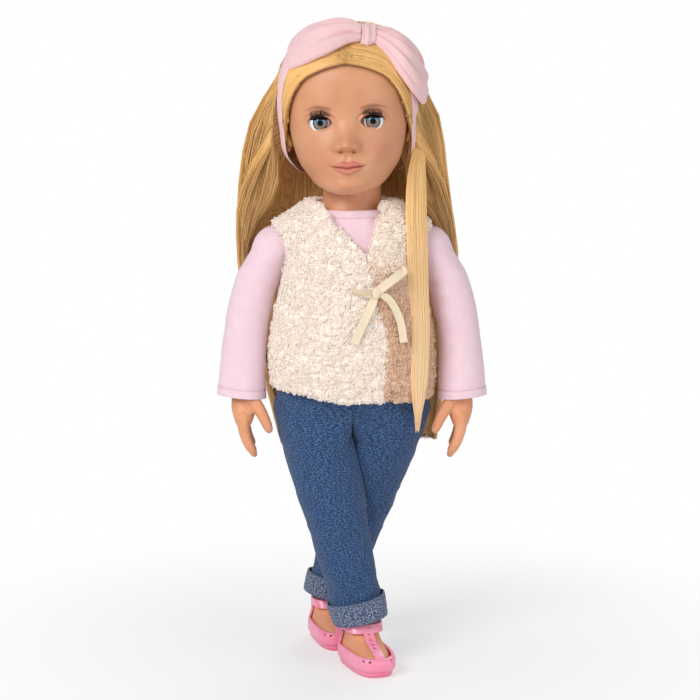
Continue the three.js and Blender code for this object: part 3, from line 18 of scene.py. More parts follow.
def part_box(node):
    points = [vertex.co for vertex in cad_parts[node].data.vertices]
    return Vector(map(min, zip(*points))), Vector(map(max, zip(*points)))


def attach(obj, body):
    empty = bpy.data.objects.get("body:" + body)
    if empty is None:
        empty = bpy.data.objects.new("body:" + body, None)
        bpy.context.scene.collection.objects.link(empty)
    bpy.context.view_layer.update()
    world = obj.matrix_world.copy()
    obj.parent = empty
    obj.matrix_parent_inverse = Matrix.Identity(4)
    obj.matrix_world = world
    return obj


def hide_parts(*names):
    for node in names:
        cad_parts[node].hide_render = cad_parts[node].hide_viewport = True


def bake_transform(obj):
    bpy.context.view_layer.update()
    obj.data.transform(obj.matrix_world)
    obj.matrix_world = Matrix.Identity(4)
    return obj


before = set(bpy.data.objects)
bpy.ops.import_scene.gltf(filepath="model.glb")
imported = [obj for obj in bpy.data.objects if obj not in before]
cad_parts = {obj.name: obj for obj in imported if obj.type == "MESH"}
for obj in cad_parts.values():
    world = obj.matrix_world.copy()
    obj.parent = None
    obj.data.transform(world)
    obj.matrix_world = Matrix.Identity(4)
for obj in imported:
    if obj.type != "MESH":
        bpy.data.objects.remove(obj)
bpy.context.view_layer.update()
scene = bpy.context.scene

# %% [markdown]
# The tailor's measurements below are in millimetres, with the hip pins on the line y = 0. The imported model
# is in metres and stands centred on its footprint, so one small shift along Y brings the two together.

# %% Measurements to metres
swivel_low, swivel_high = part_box("hip_swivel_left")
DEPTH_SHIFT = (swivel_low.y + swivel_high.y) / 2


def to_metres(points):
    """Points in millimetres from the hip line, as metres in the model's frame."""
    placed = np.asarray(points, dtype=float) * 0.001
    placed[..., 1] += DEPTH_SHIFT
    return placed


def to_millimetres(points):
    """The way back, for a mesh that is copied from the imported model."""
    placed = np.array(points, dtype=float)
    placed[..., 1] -= DEPTH_SHIFT
    return placed * 1000


print("depth shift", round(DEPTH_SHIFT * 1000, 2), "mm")

# %% [markdown]
# The photographer stood about a metre and a half away, a little above the doll's chest. A long lens with a
# narrow view keeps the head and feet in true proportion. The camera comes first, so every later look is
# from there.

# %% Camera
camera_data = bpy.data.cameras.new("studio_camera")
camera = bpy.data.objects.new("studio_camera", camera_data)
scene.collection.objects.link(camera)
scene.camera = camera
eye_point = Vector(to_metres([-1.5, -1500, 450]))
look_point = Vector(to_metres([-1.5, 0, 223.3]))
camera.location = eye_point
camera.rotation_euler = (look_point - eye_point).to_track_quat("-Z", "Y").to_euler()
FRAME_HEIGHT = 0.50779
SENSOR_WIDTH = 36
camera_data.sensor_fit = "HORIZONTAL"
camera_data.sensor_width = SENSOR_WIDTH
camera_data.lens = SENSOR_WIDTH * (look_point - eye_point).length / FRAME_HEIGHT
camera_data.clip_end = 20
print("lens", round(camera_data.lens, 1), "mm")

# %% [markdown]
# Materials are written as short recipes. `recipe` opens a material with its main shader, and `wire` adds a
# node and sets or links its inputs, so each finish reads as a list of steps.

# %% Material helpers


def srgb(code):
    """A screen colour such as d99b76 as the linear numbers a shader takes."""
    parts = [int(code[i : i + 2], 16) / 255 for i in (0, 2, 4)]
    return tuple(c / 12.92 if c <= 0.04045 else ((c + 0.055) / 1.055) ** 2.4 for c in parts) + (1,)


def wire(tree, kind, settings=None, **inputs):
    """Adds a node. Inputs are given by socket name with _ for spaces, or as in0, in1 by place."""
    made = tree.nodes.new(kind)
    for key, value in (settings or {}).items():
        setattr(made, key, value)
    for key, value in inputs.items():
        by_place = key[:2] == "in" and key[2:].isdigit()
        socket = made.inputs[int(key[2:]) if by_place else key.replace("_", " ")]
        if isinstance(value, bpy.types.NodeSocket):
            tree.links.new(value, socket)
        else:
            socket.default_value = value
    return made


def recipe(name, color, roughness, **values):
    """A new material and its node tree and main shader, with plain values on the shader's own sockets."""
    material = bpy.data.materials.new(name)
    material.use_nodes = True
    tree = material.node_tree
    shader = tree.nodes["Principled BSDF"]
    shader.inputs["Base Color"].default_value = srgb(color) if isinstance(color, str) else color
    shader.inputs["Roughness"].default_value = roughness
    for key, value in values.items():
        shader.inputs[key.replace("_", " ")].default_value = value
    return material, tree, shader


def blend(tree, factor, first, second, way="MIX"):
    """Two colours mixed. A colour is a socket or a screen colour such as d99b76."""
    first, second = (srgb(c) if isinstance(c, str) else c for c in (first, second))
    settings = {"data_type": "RGBA", "blend_type": way}
    return wire(tree, "ShaderNodeMix", settings, in0=factor, in6=first, in7=second).outputs[2]


def maths(tree, operation, first, second=0.0, clamp=False):
    """A maths node's output."""
    settings = {"operation": operation, "use_clamp": clamp}
    return wire(tree, "ShaderNodeMath", settings, in0=first, in1=second).outputs[0]


def times(tree, first, second, clamp=False):
    return maths(tree, "MULTIPLY", first, second, clamp)


def opposite(tree, value):
    """One minus a value."""
    return maths(tree, "SUBTRACT", 1.0, value)


def ramp(tree, value, low, high):
    """A value moved from the range low..high to 0..1 with soft ends."""
    settings = {"interpolation_type": "SMOOTHSTEP"}
    return wire(tree, "ShaderNodeMapRange", settings, Value=value, From_Min=low, From_Max=high).outputs[0]


def cloth_place(tree):
    """The cloth's own flat coordinates, in millimetres."""
    return wire(tree, "ShaderNodeUVMap", {"uv_map": "flat"}).outputs[0]


def object_place(tree):
    """The place on the piece itself, in metres."""
    return wire(tree, "ShaderNodeTexCoord").outputs["Object"]


def stored(tree, name):
    """A value that was kept on the mesh's points under this name."""
    return wire(tree, "ShaderNodeAttribute", {"attribute_name": name}).outputs["Fac"]


def stretched(tree, place, by):
    """Coordinates multiplied along each direction."""
    return wire(tree, "ShaderNodeVectorMath", {"operation": "MULTIPLY"}, in0=place, in1=by).outputs[0]


def grain(tree, place, scale=1.0, detail=2.0, **more):
    """Cloudy noise from about 0.3 to 0.7."""
    return wire(tree, "ShaderNodeTexNoise", Vector=place, Scale=scale, Detail=detail, **more).outputs[0]


def show_color(tree, shader, color, with_painted_glow=False):
    """The finish's own colour, which can also give a little painted glow."""
    for socket in ("Base Color", "Emission Color")[: 1 + with_painted_glow]:
        tree.links.new(color, shader.inputs[socket])


def bump_into(tree, shader, height, distance, strength=1.0):
    """A bump node from a height, in metres, to the shader's normal."""
    made = wire(tree, "ShaderNodeBump", Height=height, Distance=distance, Strength=strength)
    tree.links.new(made.outputs[0], shader.inputs["Normal"])


def start_group(name, inputs, outputs):
    """An empty node group with float sockets. The word vector as a default makes a vector socket."""
    group = bpy.data.node_groups.new(name, "ShaderNodeTree")
    for socket_name, default in inputs.items():
        kind = "NodeSocketVector" if default == "vector" else "NodeSocketFloat"
        socket = group.interface.new_socket(socket_name, in_out="INPUT", socket_type=kind)
        if default != "vector":
            socket.default_value = default
    for socket_name in outputs:
        group.interface.new_socket(socket_name, in_out="OUTPUT", socket_type="NodeSocketFloat")
    return group, group.nodes.new("NodeGroupInput"), group.nodes.new("NodeGroupOutput")


def place_group(tree, group, **inputs):
    """A node group set into a material, with its own values."""
    return wire(tree, "ShaderNodeGroup", {"node_tree": group}, **inputs)


# %% [markdown]
# Studio light: one large soft lamp high at the left, a weaker one at the right to open the shadows, and a
# small one behind for the edge of the hair. The world gives the rest, and shows as plain white to the
# camera.

# %% Lamps and backdrop
scene.view_settings.view_transform = "Standard"


def area_lamp(name, place, size, watts, target=(0, 0, 240)):
    """A square soft lamp that looks at a point of the doll."""
    data = bpy.data.lights.new(name, "AREA")
    data.size = size
    data.energy = watts
    lamp = bpy.data.objects.new(name, data)
    scene.collection.objects.link(lamp)
    lamp.location = to_metres(place)
    aim = Vector(to_metres(target)) - lamp.location
    lamp.rotation_euler = aim.to_track_quat("-Z", "Y").to_euler()
    return lamp


area_lamp("key_lamp", (-750, -950, 1050), 0.7, 12.3)
area_lamp("fill_lamp", (900, -900, 500), 1.0, 4.2)
area_lamp("back_lamp", (250, 900, 900), 0.5, 3.5)

world = bpy.data.worlds.new("studio_world")
scene.world = world
world.use_nodes = True
sky = world.node_tree
background = sky.nodes["Background"]
background.inputs["Color"].default_value = (0.95, 0.97, 1, 1)
background.inputs["Strength"].default_value = 0.42
white = wire(sky, "ShaderNodeBackground", Color=(1, 1, 1, 1))
rays = wire(sky, "ShaderNodeLightPath").outputs
seen = maths(sky, "MAXIMUM", rays["Is Camera Ray"], rays["Is Transmission Ray"])
backdrop = wire(sky, "ShaderNodeMixShader", in0=seen, in1=background.outputs[0], in2=white.outputs[0])
sky.links.new(backdrop.outputs[0], sky.nodes["World Output"].inputs["Surface"])

# %% [markdown]
# The floor is a large pale sheet that fades to plain white away from the doll, and keeps the shadow of the
# shoes.

# %% Floor
FLOOR_HALF, FLOOR_DROP = 4, 0.0002
signs = ((-1, -1), (1, -1), (1, 1), (-1, 1))
floor_corners = [(x * FLOOR_HALF, y * FLOOR_HALF, -FLOOR_DROP) for x, y in signs]
floor_mesh = bpy.data.meshes.new("floor")
floor_mesh.from_pydata(floor_corners, [], [(0, 1, 2, 3)])
floor = bpy.data.objects.new("floor", floor_mesh)
scene.collection.objects.link(floor)
floor_finish, floor_tree, floor_shader = recipe("pale_floor", (0.9, 0.9, 0.9, 1), 0.8)
from_feet = wire(floor_tree, "ShaderNodeVectorMath", {"operation": "LENGTH"}, in0=object_place(floor_tree))
fade = wire(
    floor_tree, "ShaderNodeMapRange", {"interpolation_type": "SMOOTHSTEP"},
    Value=from_feet.outputs["Value"], From_Min=0.05, From_Max=0.42, To_Min=0.45,
)
rays = wire(floor_tree, "ShaderNodeLightPath").outputs
glow = wire(floor_tree, "ShaderNodeEmission", Color=(1, 1, 1, 1))
share = times(floor_tree, rays["Is Camera Ray"], fade.outputs[0])
shown = wire(floor_tree, "ShaderNodeMixShader", in0=share, in1=floor_shader.outputs[0], in2=glow.outputs[0])
floor_tree.links.new(shown.outputs[0], floor_tree.nodes["Material Output"].inputs["Surface"])
floor_mesh.materials.append(floor_finish)

# %% [markdown]
# Every cloth shares two effects. The weave group crosses warp and weft threads from the cloth's own flat
# coordinates, which are in millimetres, and can slant them into a twill. The mottle group gives slow dye
# and wear variation. Both are built once and placed in each cloth with its own thread size.

# %% Shared effects
weave_inputs = {"Flat": "vector", "Thread": 0.5, "Slant": 0.0, "Roughen": 0.3}
weave_group, weave_in, weave_out = start_group("weave", weave_inputs, ("Height", "Mask"))
given = weave_in.outputs
split = wire(weave_group, "ShaderNodeSeparateXYZ", in0=given["Flat"]).outputs
per_thread = maths(weave_group, "DIVIDE", 2 * math.pi, given["Thread"])
along = maths(weave_group, "ADD", split["Y"], times(weave_group, split["X"], given["Slant"]))
fuzz_noise = grain(weave_group, given["Flat"], 2.2, 3.0)
fuzz = times(weave_group, maths(weave_group, "SUBTRACT", fuzz_noise, 0.5), given["Roughen"])


def thread_waves(direction):
    """Waves across the cloth, one for each thread, made uneven by the fuzz."""
    turn = times(weave_group, maths(weave_group, "ADD", direction, fuzz), per_thread)
    return maths(weave_group, "SINE", turn)


weft = thread_waves(along)
crossed = times(weave_group, thread_waves(split["X"]), weft)
is_slanted = maths(weave_group, "MINIMUM", maths(weave_group, "ABSOLUTE", given["Slant"]), 1.0)
straight_part = times(weave_group, crossed, opposite(weave_group, is_slanted))
height = maths(weave_group, "ADD", straight_part, times(weave_group, weft, is_slanted))
weave_group.links.new(height, weave_out.inputs["Height"])
weave_group.links.new(ramp(weave_group, height, -0.6, 0.8), weave_out.inputs["Mask"])

mottle_inputs = {"Place": "vector", "Size": 10.0, "Detail": 3.0}
mottle_group, mottle_in, mottle_out = start_group("mottle", mottle_inputs, ("Mask",))
given = mottle_in.outputs
mottle_scale = maths(mottle_group, "DIVIDE", 1.0, given["Size"])
mottle_noise = grain(mottle_group, given["Place"], mottle_scale, given["Detail"])
mottle_group.links.new(ramp(mottle_group, mottle_noise, 0.3, 0.7), mottle_out.inputs["Mask"])
print("shared effects:", weave_group.name, mottle_group.name)

# %% [markdown]
# Meshes are made from grids of points in millimetres. `piece` turns points and faces into an object in
# metres with its finish, lets it ride on its body and hides the imported pieces that it stands for. Cloth
# carries flat coordinates in millimetres, so threads keep their size everywhere.

# %% Mesh helpers


def grid_faces(rows, columns, closed=True):
    """Quads over a grid of points in row order, closed round the columns or open."""
    span = columns if closed else columns - 1
    r, c = np.meshgrid(np.arange(rows - 1), np.arange(span), indexing="ij")
    a = (r * columns + c).ravel()
    b = (r * columns + (c + 1) % columns).ravel()
    return np.stack([a, b, b + columns, a + columns], axis=1)


def keep_flat(mesh, flat):
    """Keeps the cloth's flat coordinates, one pair for each point."""
    layer = mesh.uv_layers.new(name="flat")
    corner = np.empty(len(mesh.loops), dtype=np.int32)
    mesh.loops.foreach_get("vertex_index", corner)
    layer.data.foreach_set("uv", np.reshape(flat, (-1, 2))[corner].astype(np.float32).ravel())


def piece(name, points, faces, material, body=None, slot=None, node=None, flat=None):
    """A mesh object from millimetre points."""
    mesh = bpy.data.meshes.new(name)
    mesh.from_pydata(to_metres(np.reshape(points, (-1, 3))).tolist(), [], [list(map(int, f)) for f in faces])
    mesh.materials.append(material)
    if flat is not None:
        keep_flat(mesh, flat)
    mesh.polygons.foreach_set("use_smooth", [True] * len(mesh.polygons))
    mesh.update()
    made = bpy.data.objects.new(name, mesh)
    scene.collection.objects.link(made)
    if body:
        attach(made, body)
    if node:
        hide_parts(node)
    return made


def joined(*parts):
    """Coordinates put together as the last direction of one array, each spread to the common shape."""
    return np.stack(np.broadcast_arrays(*parts), axis=-1)


def reach_along(points):
    """The length of a path up to each of its points."""
    return np.concatenate([[0], np.cumsum(np.linalg.norm(np.diff(points, axis=0), axis=1))])


def settled(path, rounds=1):
    """A path whose inner points are drawn toward their neighbours, in place."""
    for _ in range(rounds):
        path[1:-1] = (path[:-2] + 2 * path[1:-1] + path[2:]) / 4
    return path


def turns(rows, columns):
    """One full turn along each row of a grid."""
    return np.linspace(0, 2 * math.pi, columns, endpoint=False) * np.ones((rows, 1))


def steps_up(low, high, rows, columns):
    """Even steps from low to high, one for each row of a grid."""
    return np.linspace(low, high, rows)[:, None] * np.ones(columns)


def capped_faces(rows, columns):
    """The faces of a closed tube with an end face on both ends."""
    ends = [tuple(range(columns - 1, -1, -1)), tuple(range((rows - 1) * columns, rows * columns))]
    return [tuple(f) for f in grid_faces(rows, columns).tolist()] + ends


def rounded(value, power):
    """A cosine or sine raised to a power with its sign kept, which squares or pinches a ring."""
    return np.sign(value) * np.abs(value) ** power


def unit(vectors, tiny=0.0):
    """The same directions with length one. Tiny keeps a zero length from dividing."""
    return vectors / (np.linalg.norm(vectors, axis=-1, keepdims=True) + tiny)


def keep_mask(made, name, values):
    """Keeps a value from 0 to 1 on each point for the finish to read. Crest is how far it stands out."""
    layer = made.data.attributes.new(name, "FLOAT", "POINT")
    layer.data.foreach_set("value", np.clip(values, 0, 1).astype(np.float32).ravel())


def applied(made):
    """Bakes the object's modifiers into its mesh, keeping its name, finish and body."""
    depsgraph = bpy.context.evaluated_depsgraph_get()
    baked = bpy.data.meshes.new_from_object(made.evaluated_get(depsgraph), depsgraph=depsgraph)
    old = made.data
    made.modifiers.clear()
    made.data = baked
    bpy.data.meshes.remove(old)
    return made


def thickened(made, thickness, offset=-1):
    """Gives a thin skin its thickness in metres, inward unless the offset says otherwise."""
    shell = made.modifiers.new("shell", "SOLIDIFY")
    shell.thickness = thickness
    shell.offset = offset
    return applied(made)


def melt(made, voxel, rounds, finish):
    """Turns closed forms into one even skin with soft joins, in one finish."""
    remesh = made.modifiers.new("fine", "REMESH")
    remesh.mode = "VOXEL"
    remesh.voxel_size = voxel
    soften = made.modifiers.new("soft", "SMOOTH")
    soften.iterations = rounds
    soften.factor = 0.5
    applied(made)
    made.data.materials.clear()
    made.data.materials.append(finish)
    made.data.polygons.foreach_set("use_smooth", [True] * len(made.data.polygons))
    return made


def stand_in(made, body, node):
    """Lets a made piece ride on a body in place of a packed one."""
    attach(made, body)
    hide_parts(node)


def vertices_of(made):
    """The mesh's points as an array in metres."""
    values = np.empty(len(made.data.vertices) * 3)
    made.data.vertices.foreach_get("co", values)
    return values.reshape(-1, 3)


def places_of(made):
    """The mesh's points in millimetres from the hip line."""
    return to_millimetres(vertices_of(made))


def normals_of(made):
    """The mesh's outward directions, one for each point."""
    values = np.empty(len(made.data.vertices) * 3)
    made.data.vertices.foreach_get("normal", values)
    return values.reshape(-1, 3)


def set_vertices(made, values):
    made.data.vertices.foreach_set("co", np.asarray(values).ravel())
    made.data.update()


def row_value(rows, heights, column):
    """A smooth curve through rows of height and values, read at many heights."""
    rows = sorted(rows)
    xs = np.array([r[0] for r in rows], dtype=float)
    ys = np.array([r[column] for r in rows], dtype=float)
    steps = np.diff(ys) / np.diff(xs)
    slopes = np.zeros(len(xs))
    slopes[0], slopes[-1] = steps[0], steps[-1]
    for i in range(1, len(xs) - 1):
        if steps[i - 1] * steps[i] > 0:
            slopes[i] = 2 * steps[i - 1] * steps[i] / (steps[i - 1] + steps[i])
    h = np.clip(np.asarray(heights, dtype=float), xs[0], xs[-1])
    i = np.clip(np.searchsorted(xs, h, side="right") - 1, 0, len(xs) - 2)
    span = xs[i + 1] - xs[i]
    t = (h - xs[i]) / span
    return (
        (2 * t**3 - 3 * t**2 + 1) * ys[i]
        + (t**3 - 2 * t**2 + t) * span * slopes[i]
        + (3 * t**2 - 2 * t**3) * ys[i + 1]
        + (t**3 - t**2) * span * slopes[i + 1]
    )


def row_values(rows, heights):
    """Every column of the rows after their heights, each read as its own smooth curve."""
    return [row_value(rows, heights, column) for column in range(1, len(rows[0]))]


def ease(value, low, high):
    t = np.clip((np.asarray(value, dtype=float) - low) / (high - low), 0, 1)
    return t * t * (3 - 2 * t)


def bell(value, middle, spread):
    return np.exp(-(((np.asarray(value, dtype=float) - middle) / spread) ** 2))


def soft_noise(points, size, seed=0):
    """Smooth noise from -1 to 1 at many points, with lumps of a given size."""
    p = np.asarray(points, dtype=float) / size + seed * 17.31
    cell = np.floor(p).astype(np.int64)
    local = p - cell
    ease = local * local * (3 - 2 * local)
    total = np.zeros(p.shape[:-1])
    for corner in np.ndindex(*(2,) * p.shape[-1]):
        weight = np.ones(p.shape[:-1])
        mixed = np.full(p.shape[:-1], seed * 7919 + 13, dtype=np.int64)
        for axis, bit in enumerate(corner):
            weight = weight * (ease[..., axis] if bit else 1 - ease[..., axis])
            mixed = (mixed * 31 + (cell[..., axis] + bit) * (73856093, 19349663, 83492791)[axis]) & 0x7FFFFFFF
        mixed = ((mixed >> 13) ^ mixed) & 0x7FFFFFFF
        value = ((mixed * (mixed * mixed % 15731 + 789221) + 1376312589) & 0x7FFFFFFF) / 0x3FFFFFFF - 1
        total = total + weight * value
    return total


print("helpers ready")

# %% [markdown]
# Denim is a twill: blue warp over white weft, so slanted lines a third of a millimetre apart show, with
# pale worn places on the folds. The turned-up cuff shows the wrong side, which has more of the white weft.

# %% Denim


def denim(name, deepest, dark, pale, worn, slant):
    material, tree, shader = recipe(name, dark, 0.88, Sheen_Weight=0.12, Sheen_Roughness=0.5)
    flat = cloth_place(tree)
    weave = place_group(tree, weave_group, Flat=flat, Thread=1.05, Slant=slant, Roughen=1.1)
    mottle = place_group(tree, mottle_group, Place=flat, Size=9.0, Detail=5.0)
    color = blend(tree, times(tree, weave.outputs["Mask"], 0.3), dark, pale)
    slub = grain(tree, stretched(tree, flat, (1.6, 0.09, 1.0)))
    color = blend(tree, times(tree, ramp(tree, slub, 0.42, 0.7), 0.3), color, pale)
    slanting = {"Rotation": (0, 0, 0.45 * slant), "Scale": (0.7, 1.3, 1.0)}
    fleck_place = wire(tree, "ShaderNodeMapping", {"vector_type": "POINT"}, Vector=flat, **slanting)
    fleck = grain(tree, fleck_place.outputs[0], 1.0, 3.0, Roughness=0.7)
    color = blend(tree, times(tree, ramp(tree, fleck, 0.5, 0.62), 0.6), color, pale)
    color = blend(tree, times(tree, opposite(tree, ramp(tree, fleck, 0.4, 0.52)), 0.9), color, deepest)
    faded = times(tree, times(tree, mottle.outputs["Mask"], 0.45), 0.5)
    worn_share = maths(tree, "ADD", faded, times(tree, stored(tree, "crest"), 0.35), clamp=True)
    show_color(tree, shader, blend(tree, worn_share, color, worn))
    bump_into(tree, shader, weave.outputs["Height"], 0.00012, 0.7)
    return material


denim_out = denim("denim_right_side", "030b1e", "0c2a55", "6390c8", "1c4274", 1.0)
denim_in = denim("denim_wrong_side", "0c1833", "22365e", "c0d0e6", "384e7b", -1.0)

# %% [markdown]
# Jersey is a fine knit: rows of tiny loops that read as a soft fleck. The pile cloth of the vest gets its
# look from real lumps and fibres, so its finish stays simple: cream, with painted shade in the hollows.

# %% Jersey, pile, muslin, knit band and satin ribbon


def soft_cloth(name, color, shade, thread, roughen, bump_height, sheen=0.25, has_flat=True):
    material, tree, shader = recipe(name, color, 0.92, Sheen_Weight=sheen, Sheen_Roughness=0.6)
    flat = cloth_place(tree) if has_flat else stretched(tree, object_place(tree), (1000, 1000, 1000))
    weave = place_group(tree, weave_group, Flat=flat, Thread=thread, Roughen=roughen)
    mottle = place_group(tree, mottle_group, Place=flat, Size=7.0, Detail=4.0)
    fleck = times(tree, ramp(tree, grain(tree, flat, 3.4), 0.45, 0.75), 0.4)
    mask = maths(tree, "ADD", times(tree, weave.outputs["Mask"], 0.35), fleck)
    mask = maths(tree, "ADD", mask, times(tree, mottle.outputs["Mask"], 0.2), clamp=True)
    show_color(tree, shader, blend(tree, mask, color, shade))
    bump_into(tree, shader, weave.outputs["Height"], bump_height, 0.6)
    return material


jersey = soft_cloth("pink_jersey", "fadde7", "f0c6d3", 0.9, 1.4, 0.00012)
muslin = soft_cloth("torso_muslin", "e9cdb4", "cfae92", 0.8, 0.5, 0.0001, has_flat=False)
band_cloth = soft_cloth("pink_band", "f8d2d2", "ecb3b5", 0.75, 1.0, 0.00012, sheen=0.3)


def pile(name, hollow_shade, crest_color, curl_color, lower=None):
    """Pile cloth with painted shade in its hollows and a faint painted glow. A lower colour adds painted shade
    to the lower part, under the ribbon and lock, between two heights in metres.
    """
    # The small emission is painted light: a glow that stands in for light scattered inside the pile.
    material, tree, shader = recipe(
        name, crest_color, 0.95, Sheen_Weight=0.6, Sheen_Roughness=0.5, Emission_Strength=0.07
    )
    place = object_place(tree)
    curl = grain(tree, place, 900.0, 3.0)
    color = blend(tree, ramp(tree, stored(tree, "crest"), 0.05, 0.75), hollow_shade, crest_color)
    color = blend(tree, times(tree, curl, 0.25), color, curl_color)
    if lower:
        # Painted shade on the lower part, under the ribbon and lock.
        height = wire(tree, "ShaderNodeSeparateXYZ", in0=place).outputs["Z"]
        below = opposite(tree, ramp(tree, height, 0.262, 0.302))
        color = blend(tree, times(tree, below, 0.85), color, lower, "MULTIPLY")
    show_color(tree, shader, color, with_painted_glow=True)
    bump_into(tree, shader, curl, 0.0006, 0.8)
    return material


pile_over = pile("cream_pile", "efd5c0", "fff3e7", "fbe6d6")
# The under panel is a shaded copy of the cream pile: a little darker, with painted shade on its lower part
# under the ribbon and lock.
pile_under_shaded = pile("cream_pile_shaded", "e4cab2", "fff1e2", "f3dcc6", "e2c2a6")

ribbon_finish, tree, shader = recipe("satin_ribbon", "e6d6ae", 0.38, Sheen_Weight=0.1, Anisotropic=0.5)
ribs = wire(
    tree, "ShaderNodeTexWave", {"bands_direction": "Y"}, Vector=cloth_place(tree), Scale=0.9, Distortion=0.6
).outputs["Fac"]
show_color(tree, shader, blend(tree, times(tree, ribs, 0.4), "f4e2c4", "dfc59c"))
bump_into(tree, shader, ribs, 0.00008, 0.5)


# %% [markdown]
# Each trouser leg is a tube of rings from the hem to the hip. The legs cross, so each ring is pressed flat
# on the side where the other leg lies. Folds are ridges of noise stretched round the leg: strong behind the
# knee and at the ankle, where the tube of cloth is longer than the limb, and faint on the thigh.

# %% Jeans legs
HIP_HEIGHT = 180
HIP_HALF = 30
ANKLES = {"left": (-17, 33), "right": (6, -34)}
SIDES = {"left": 1, "right": -1}
HEM = 33
jeans_rows = [
    (33, 17.4, 17.6), (50, 18.2, 18.4), (75, 20.6, 19.6), (100, 23, 20.6), (125, 25.2, 22.4),
    (150, 27, 25.4), (168, 27.5, 27.2), (180, 27.5, 27.5),
]


def leg_centre(name, height):
    share = np.clip((HIP_HEIGHT - np.asarray(height, dtype=float)) / (HIP_HEIGHT - 32), 0, 1)
    ankle = ANKLES[name]
    return SIDES[name] * HIP_HALF * (1 - share) + ankle[0] * share, ankle[1] * share


def from_leg_middle(name, points):
    """Directions straight out from the middle of the leg."""
    centre_x, centre_y = leg_centre(name, points[..., 2])
    return unit(points - joined(centre_x, centre_y, points[..., 2]))


def trouser_ring(name, height, turn, grow=0.0):
    """Points of one trouser leg at heights and turns, pressed where the legs cross."""
    half, deep = (value + grow for value in row_values(jeans_rows, height))
    cx, cy = leg_centre(name, height)
    ox, oy = leg_centre("right" if name == "left" else "left", height)
    c, s = np.cos(turn), np.sin(turn)
    x = rounded(c, 2 / 2.1) * half
    y = rounded(s, 2 / 2.1) * deep
    dx, dy = ox - cx, oy - cy
    away = np.hypot(dx, dy)
    dx, dy = dx / away, dy / away
    limit = away / 2 - 0.25
    out = x * dx + y * dy
    over = np.maximum(out - limit, 0)
    soft = over * ease(over, 0, 0.6)
    return joined(cx + x - dx * soft, cy + y - dy * soft, height + 0 * x)


def hem_rise(name, points):
    """The hem hangs square to the leaning leg, so one side of it is higher."""
    slope = 0.19 if name == "right" else -0.24
    cx = leg_centre(name, points[..., 2])[0]
    return (points[..., 0] - cx) * slope * ease(110 - points[..., 2], 0, 62)


def fold_height(turn, height, seed):
    """Folds of a trouser leg in millimetres."""
    around = turn * 20
    field = joined(around * 0.35, height + 6 * np.sin(turn + seed), 0)
    ridges = 1 - np.abs(soft_noise(field, 7.5, seed)) * 2
    drag = joined(around * 0.55 + height * 0.4, height * 0.6, 0 * height + 5)
    slack = soft_noise(drag, 11, seed + 3)
    knee = bell(height, 104, 22)
    ankle = bell(height, 54, 13)
    thigh = bell(height, 150, 16)
    return ridges * (0.75 * knee + 1.1 * ankle + 0.35 * thigh) + slack * (0.6 + 0.6 * knee + 0.5 * ankle)


def jeans_leg(name):
    rows, columns = 240, 150
    height = steps_up(HEM, 206, rows, columns)
    turn = turns(rows, columns) + math.pi / 2
    seed = 4 if name == "left" else 9
    below = np.minimum(height, HIP_HEIGHT)
    folds = fold_height(turn, height, seed) * (1 - ease(height, 150, 168))
    seam_side = SIDES[name]
    outer_seam = bell(np.cos(turn - (0 if seam_side > 0 else math.pi)), 1, 0.0018) * 0.35
    points = trouser_ring(name, below, turn, 0.0)
    centre_x, centre_y = leg_centre(name, below)
    outward = from_leg_middle(name, points)
    ox, oy = leg_centre("right" if name == "left" else "left", below)
    apart = np.hypot(ox - centre_x, oy - centre_y)
    facing = (outward[..., 0] * (ox - centre_x) + outward[..., 1] * (oy - centre_y)) / apart
    near = ease(facing, 0.3, 0.8) * ease(42 - apart, -14, 0)
    lift = (folds - 0.6) * (1 - near) + outer_seam
    points = points + outward * lift[..., None]
    dome = np.sqrt(np.clip(1 - ((height - HIP_HEIGHT) / 27.5) ** 2, 0.02, 1))
    above = height > HIP_HEIGHT
    for axis, centre in enumerate((centre_x, centre_y)):
        points[..., axis] = np.where(above, centre + (points[..., axis] - centre) * dome, points[..., axis])
    points[..., 2] = np.where(above, height, points[..., 2])
    points[..., 2] += hem_rise(name, points)
    flat = joined(turn * 21, height)
    made = piece(
        f"jeans_leg_cloth_{name}", points, grid_faces(rows, columns), denim_out,
        body=f"leg_{name}", slot="denim", node=f"jeans_leg_{name}", flat=flat,
    )
    keep_mask(made, "crest", ease(folds, 0.5, 1.7) * 0.6 + outer_seam)
    return thickened(made, 0.0009)


jeans_legs = {name: jeans_leg(name) for name in ("left", "right")}
print("jeans legs:", [len(o.data.polygons) for o in jeans_legs.values()], "faces")

# %% [markdown]
# The seat of the jeans is made of two halves that meet in the real centre seam. Each half starts as half of
# the waist oval and turns into the outer side of its own leg, so seat and leg read as one cloth.

# %% Jeans seat
seat_rows = [
    (164, 50, -29, 33), (175, 53.5, -32, 35.5), (186, 54.8, -34.2, 36.8), (200, 53.8, -35.2, 36.3),
    (216, 49.5, -33.5, 33.8),
]


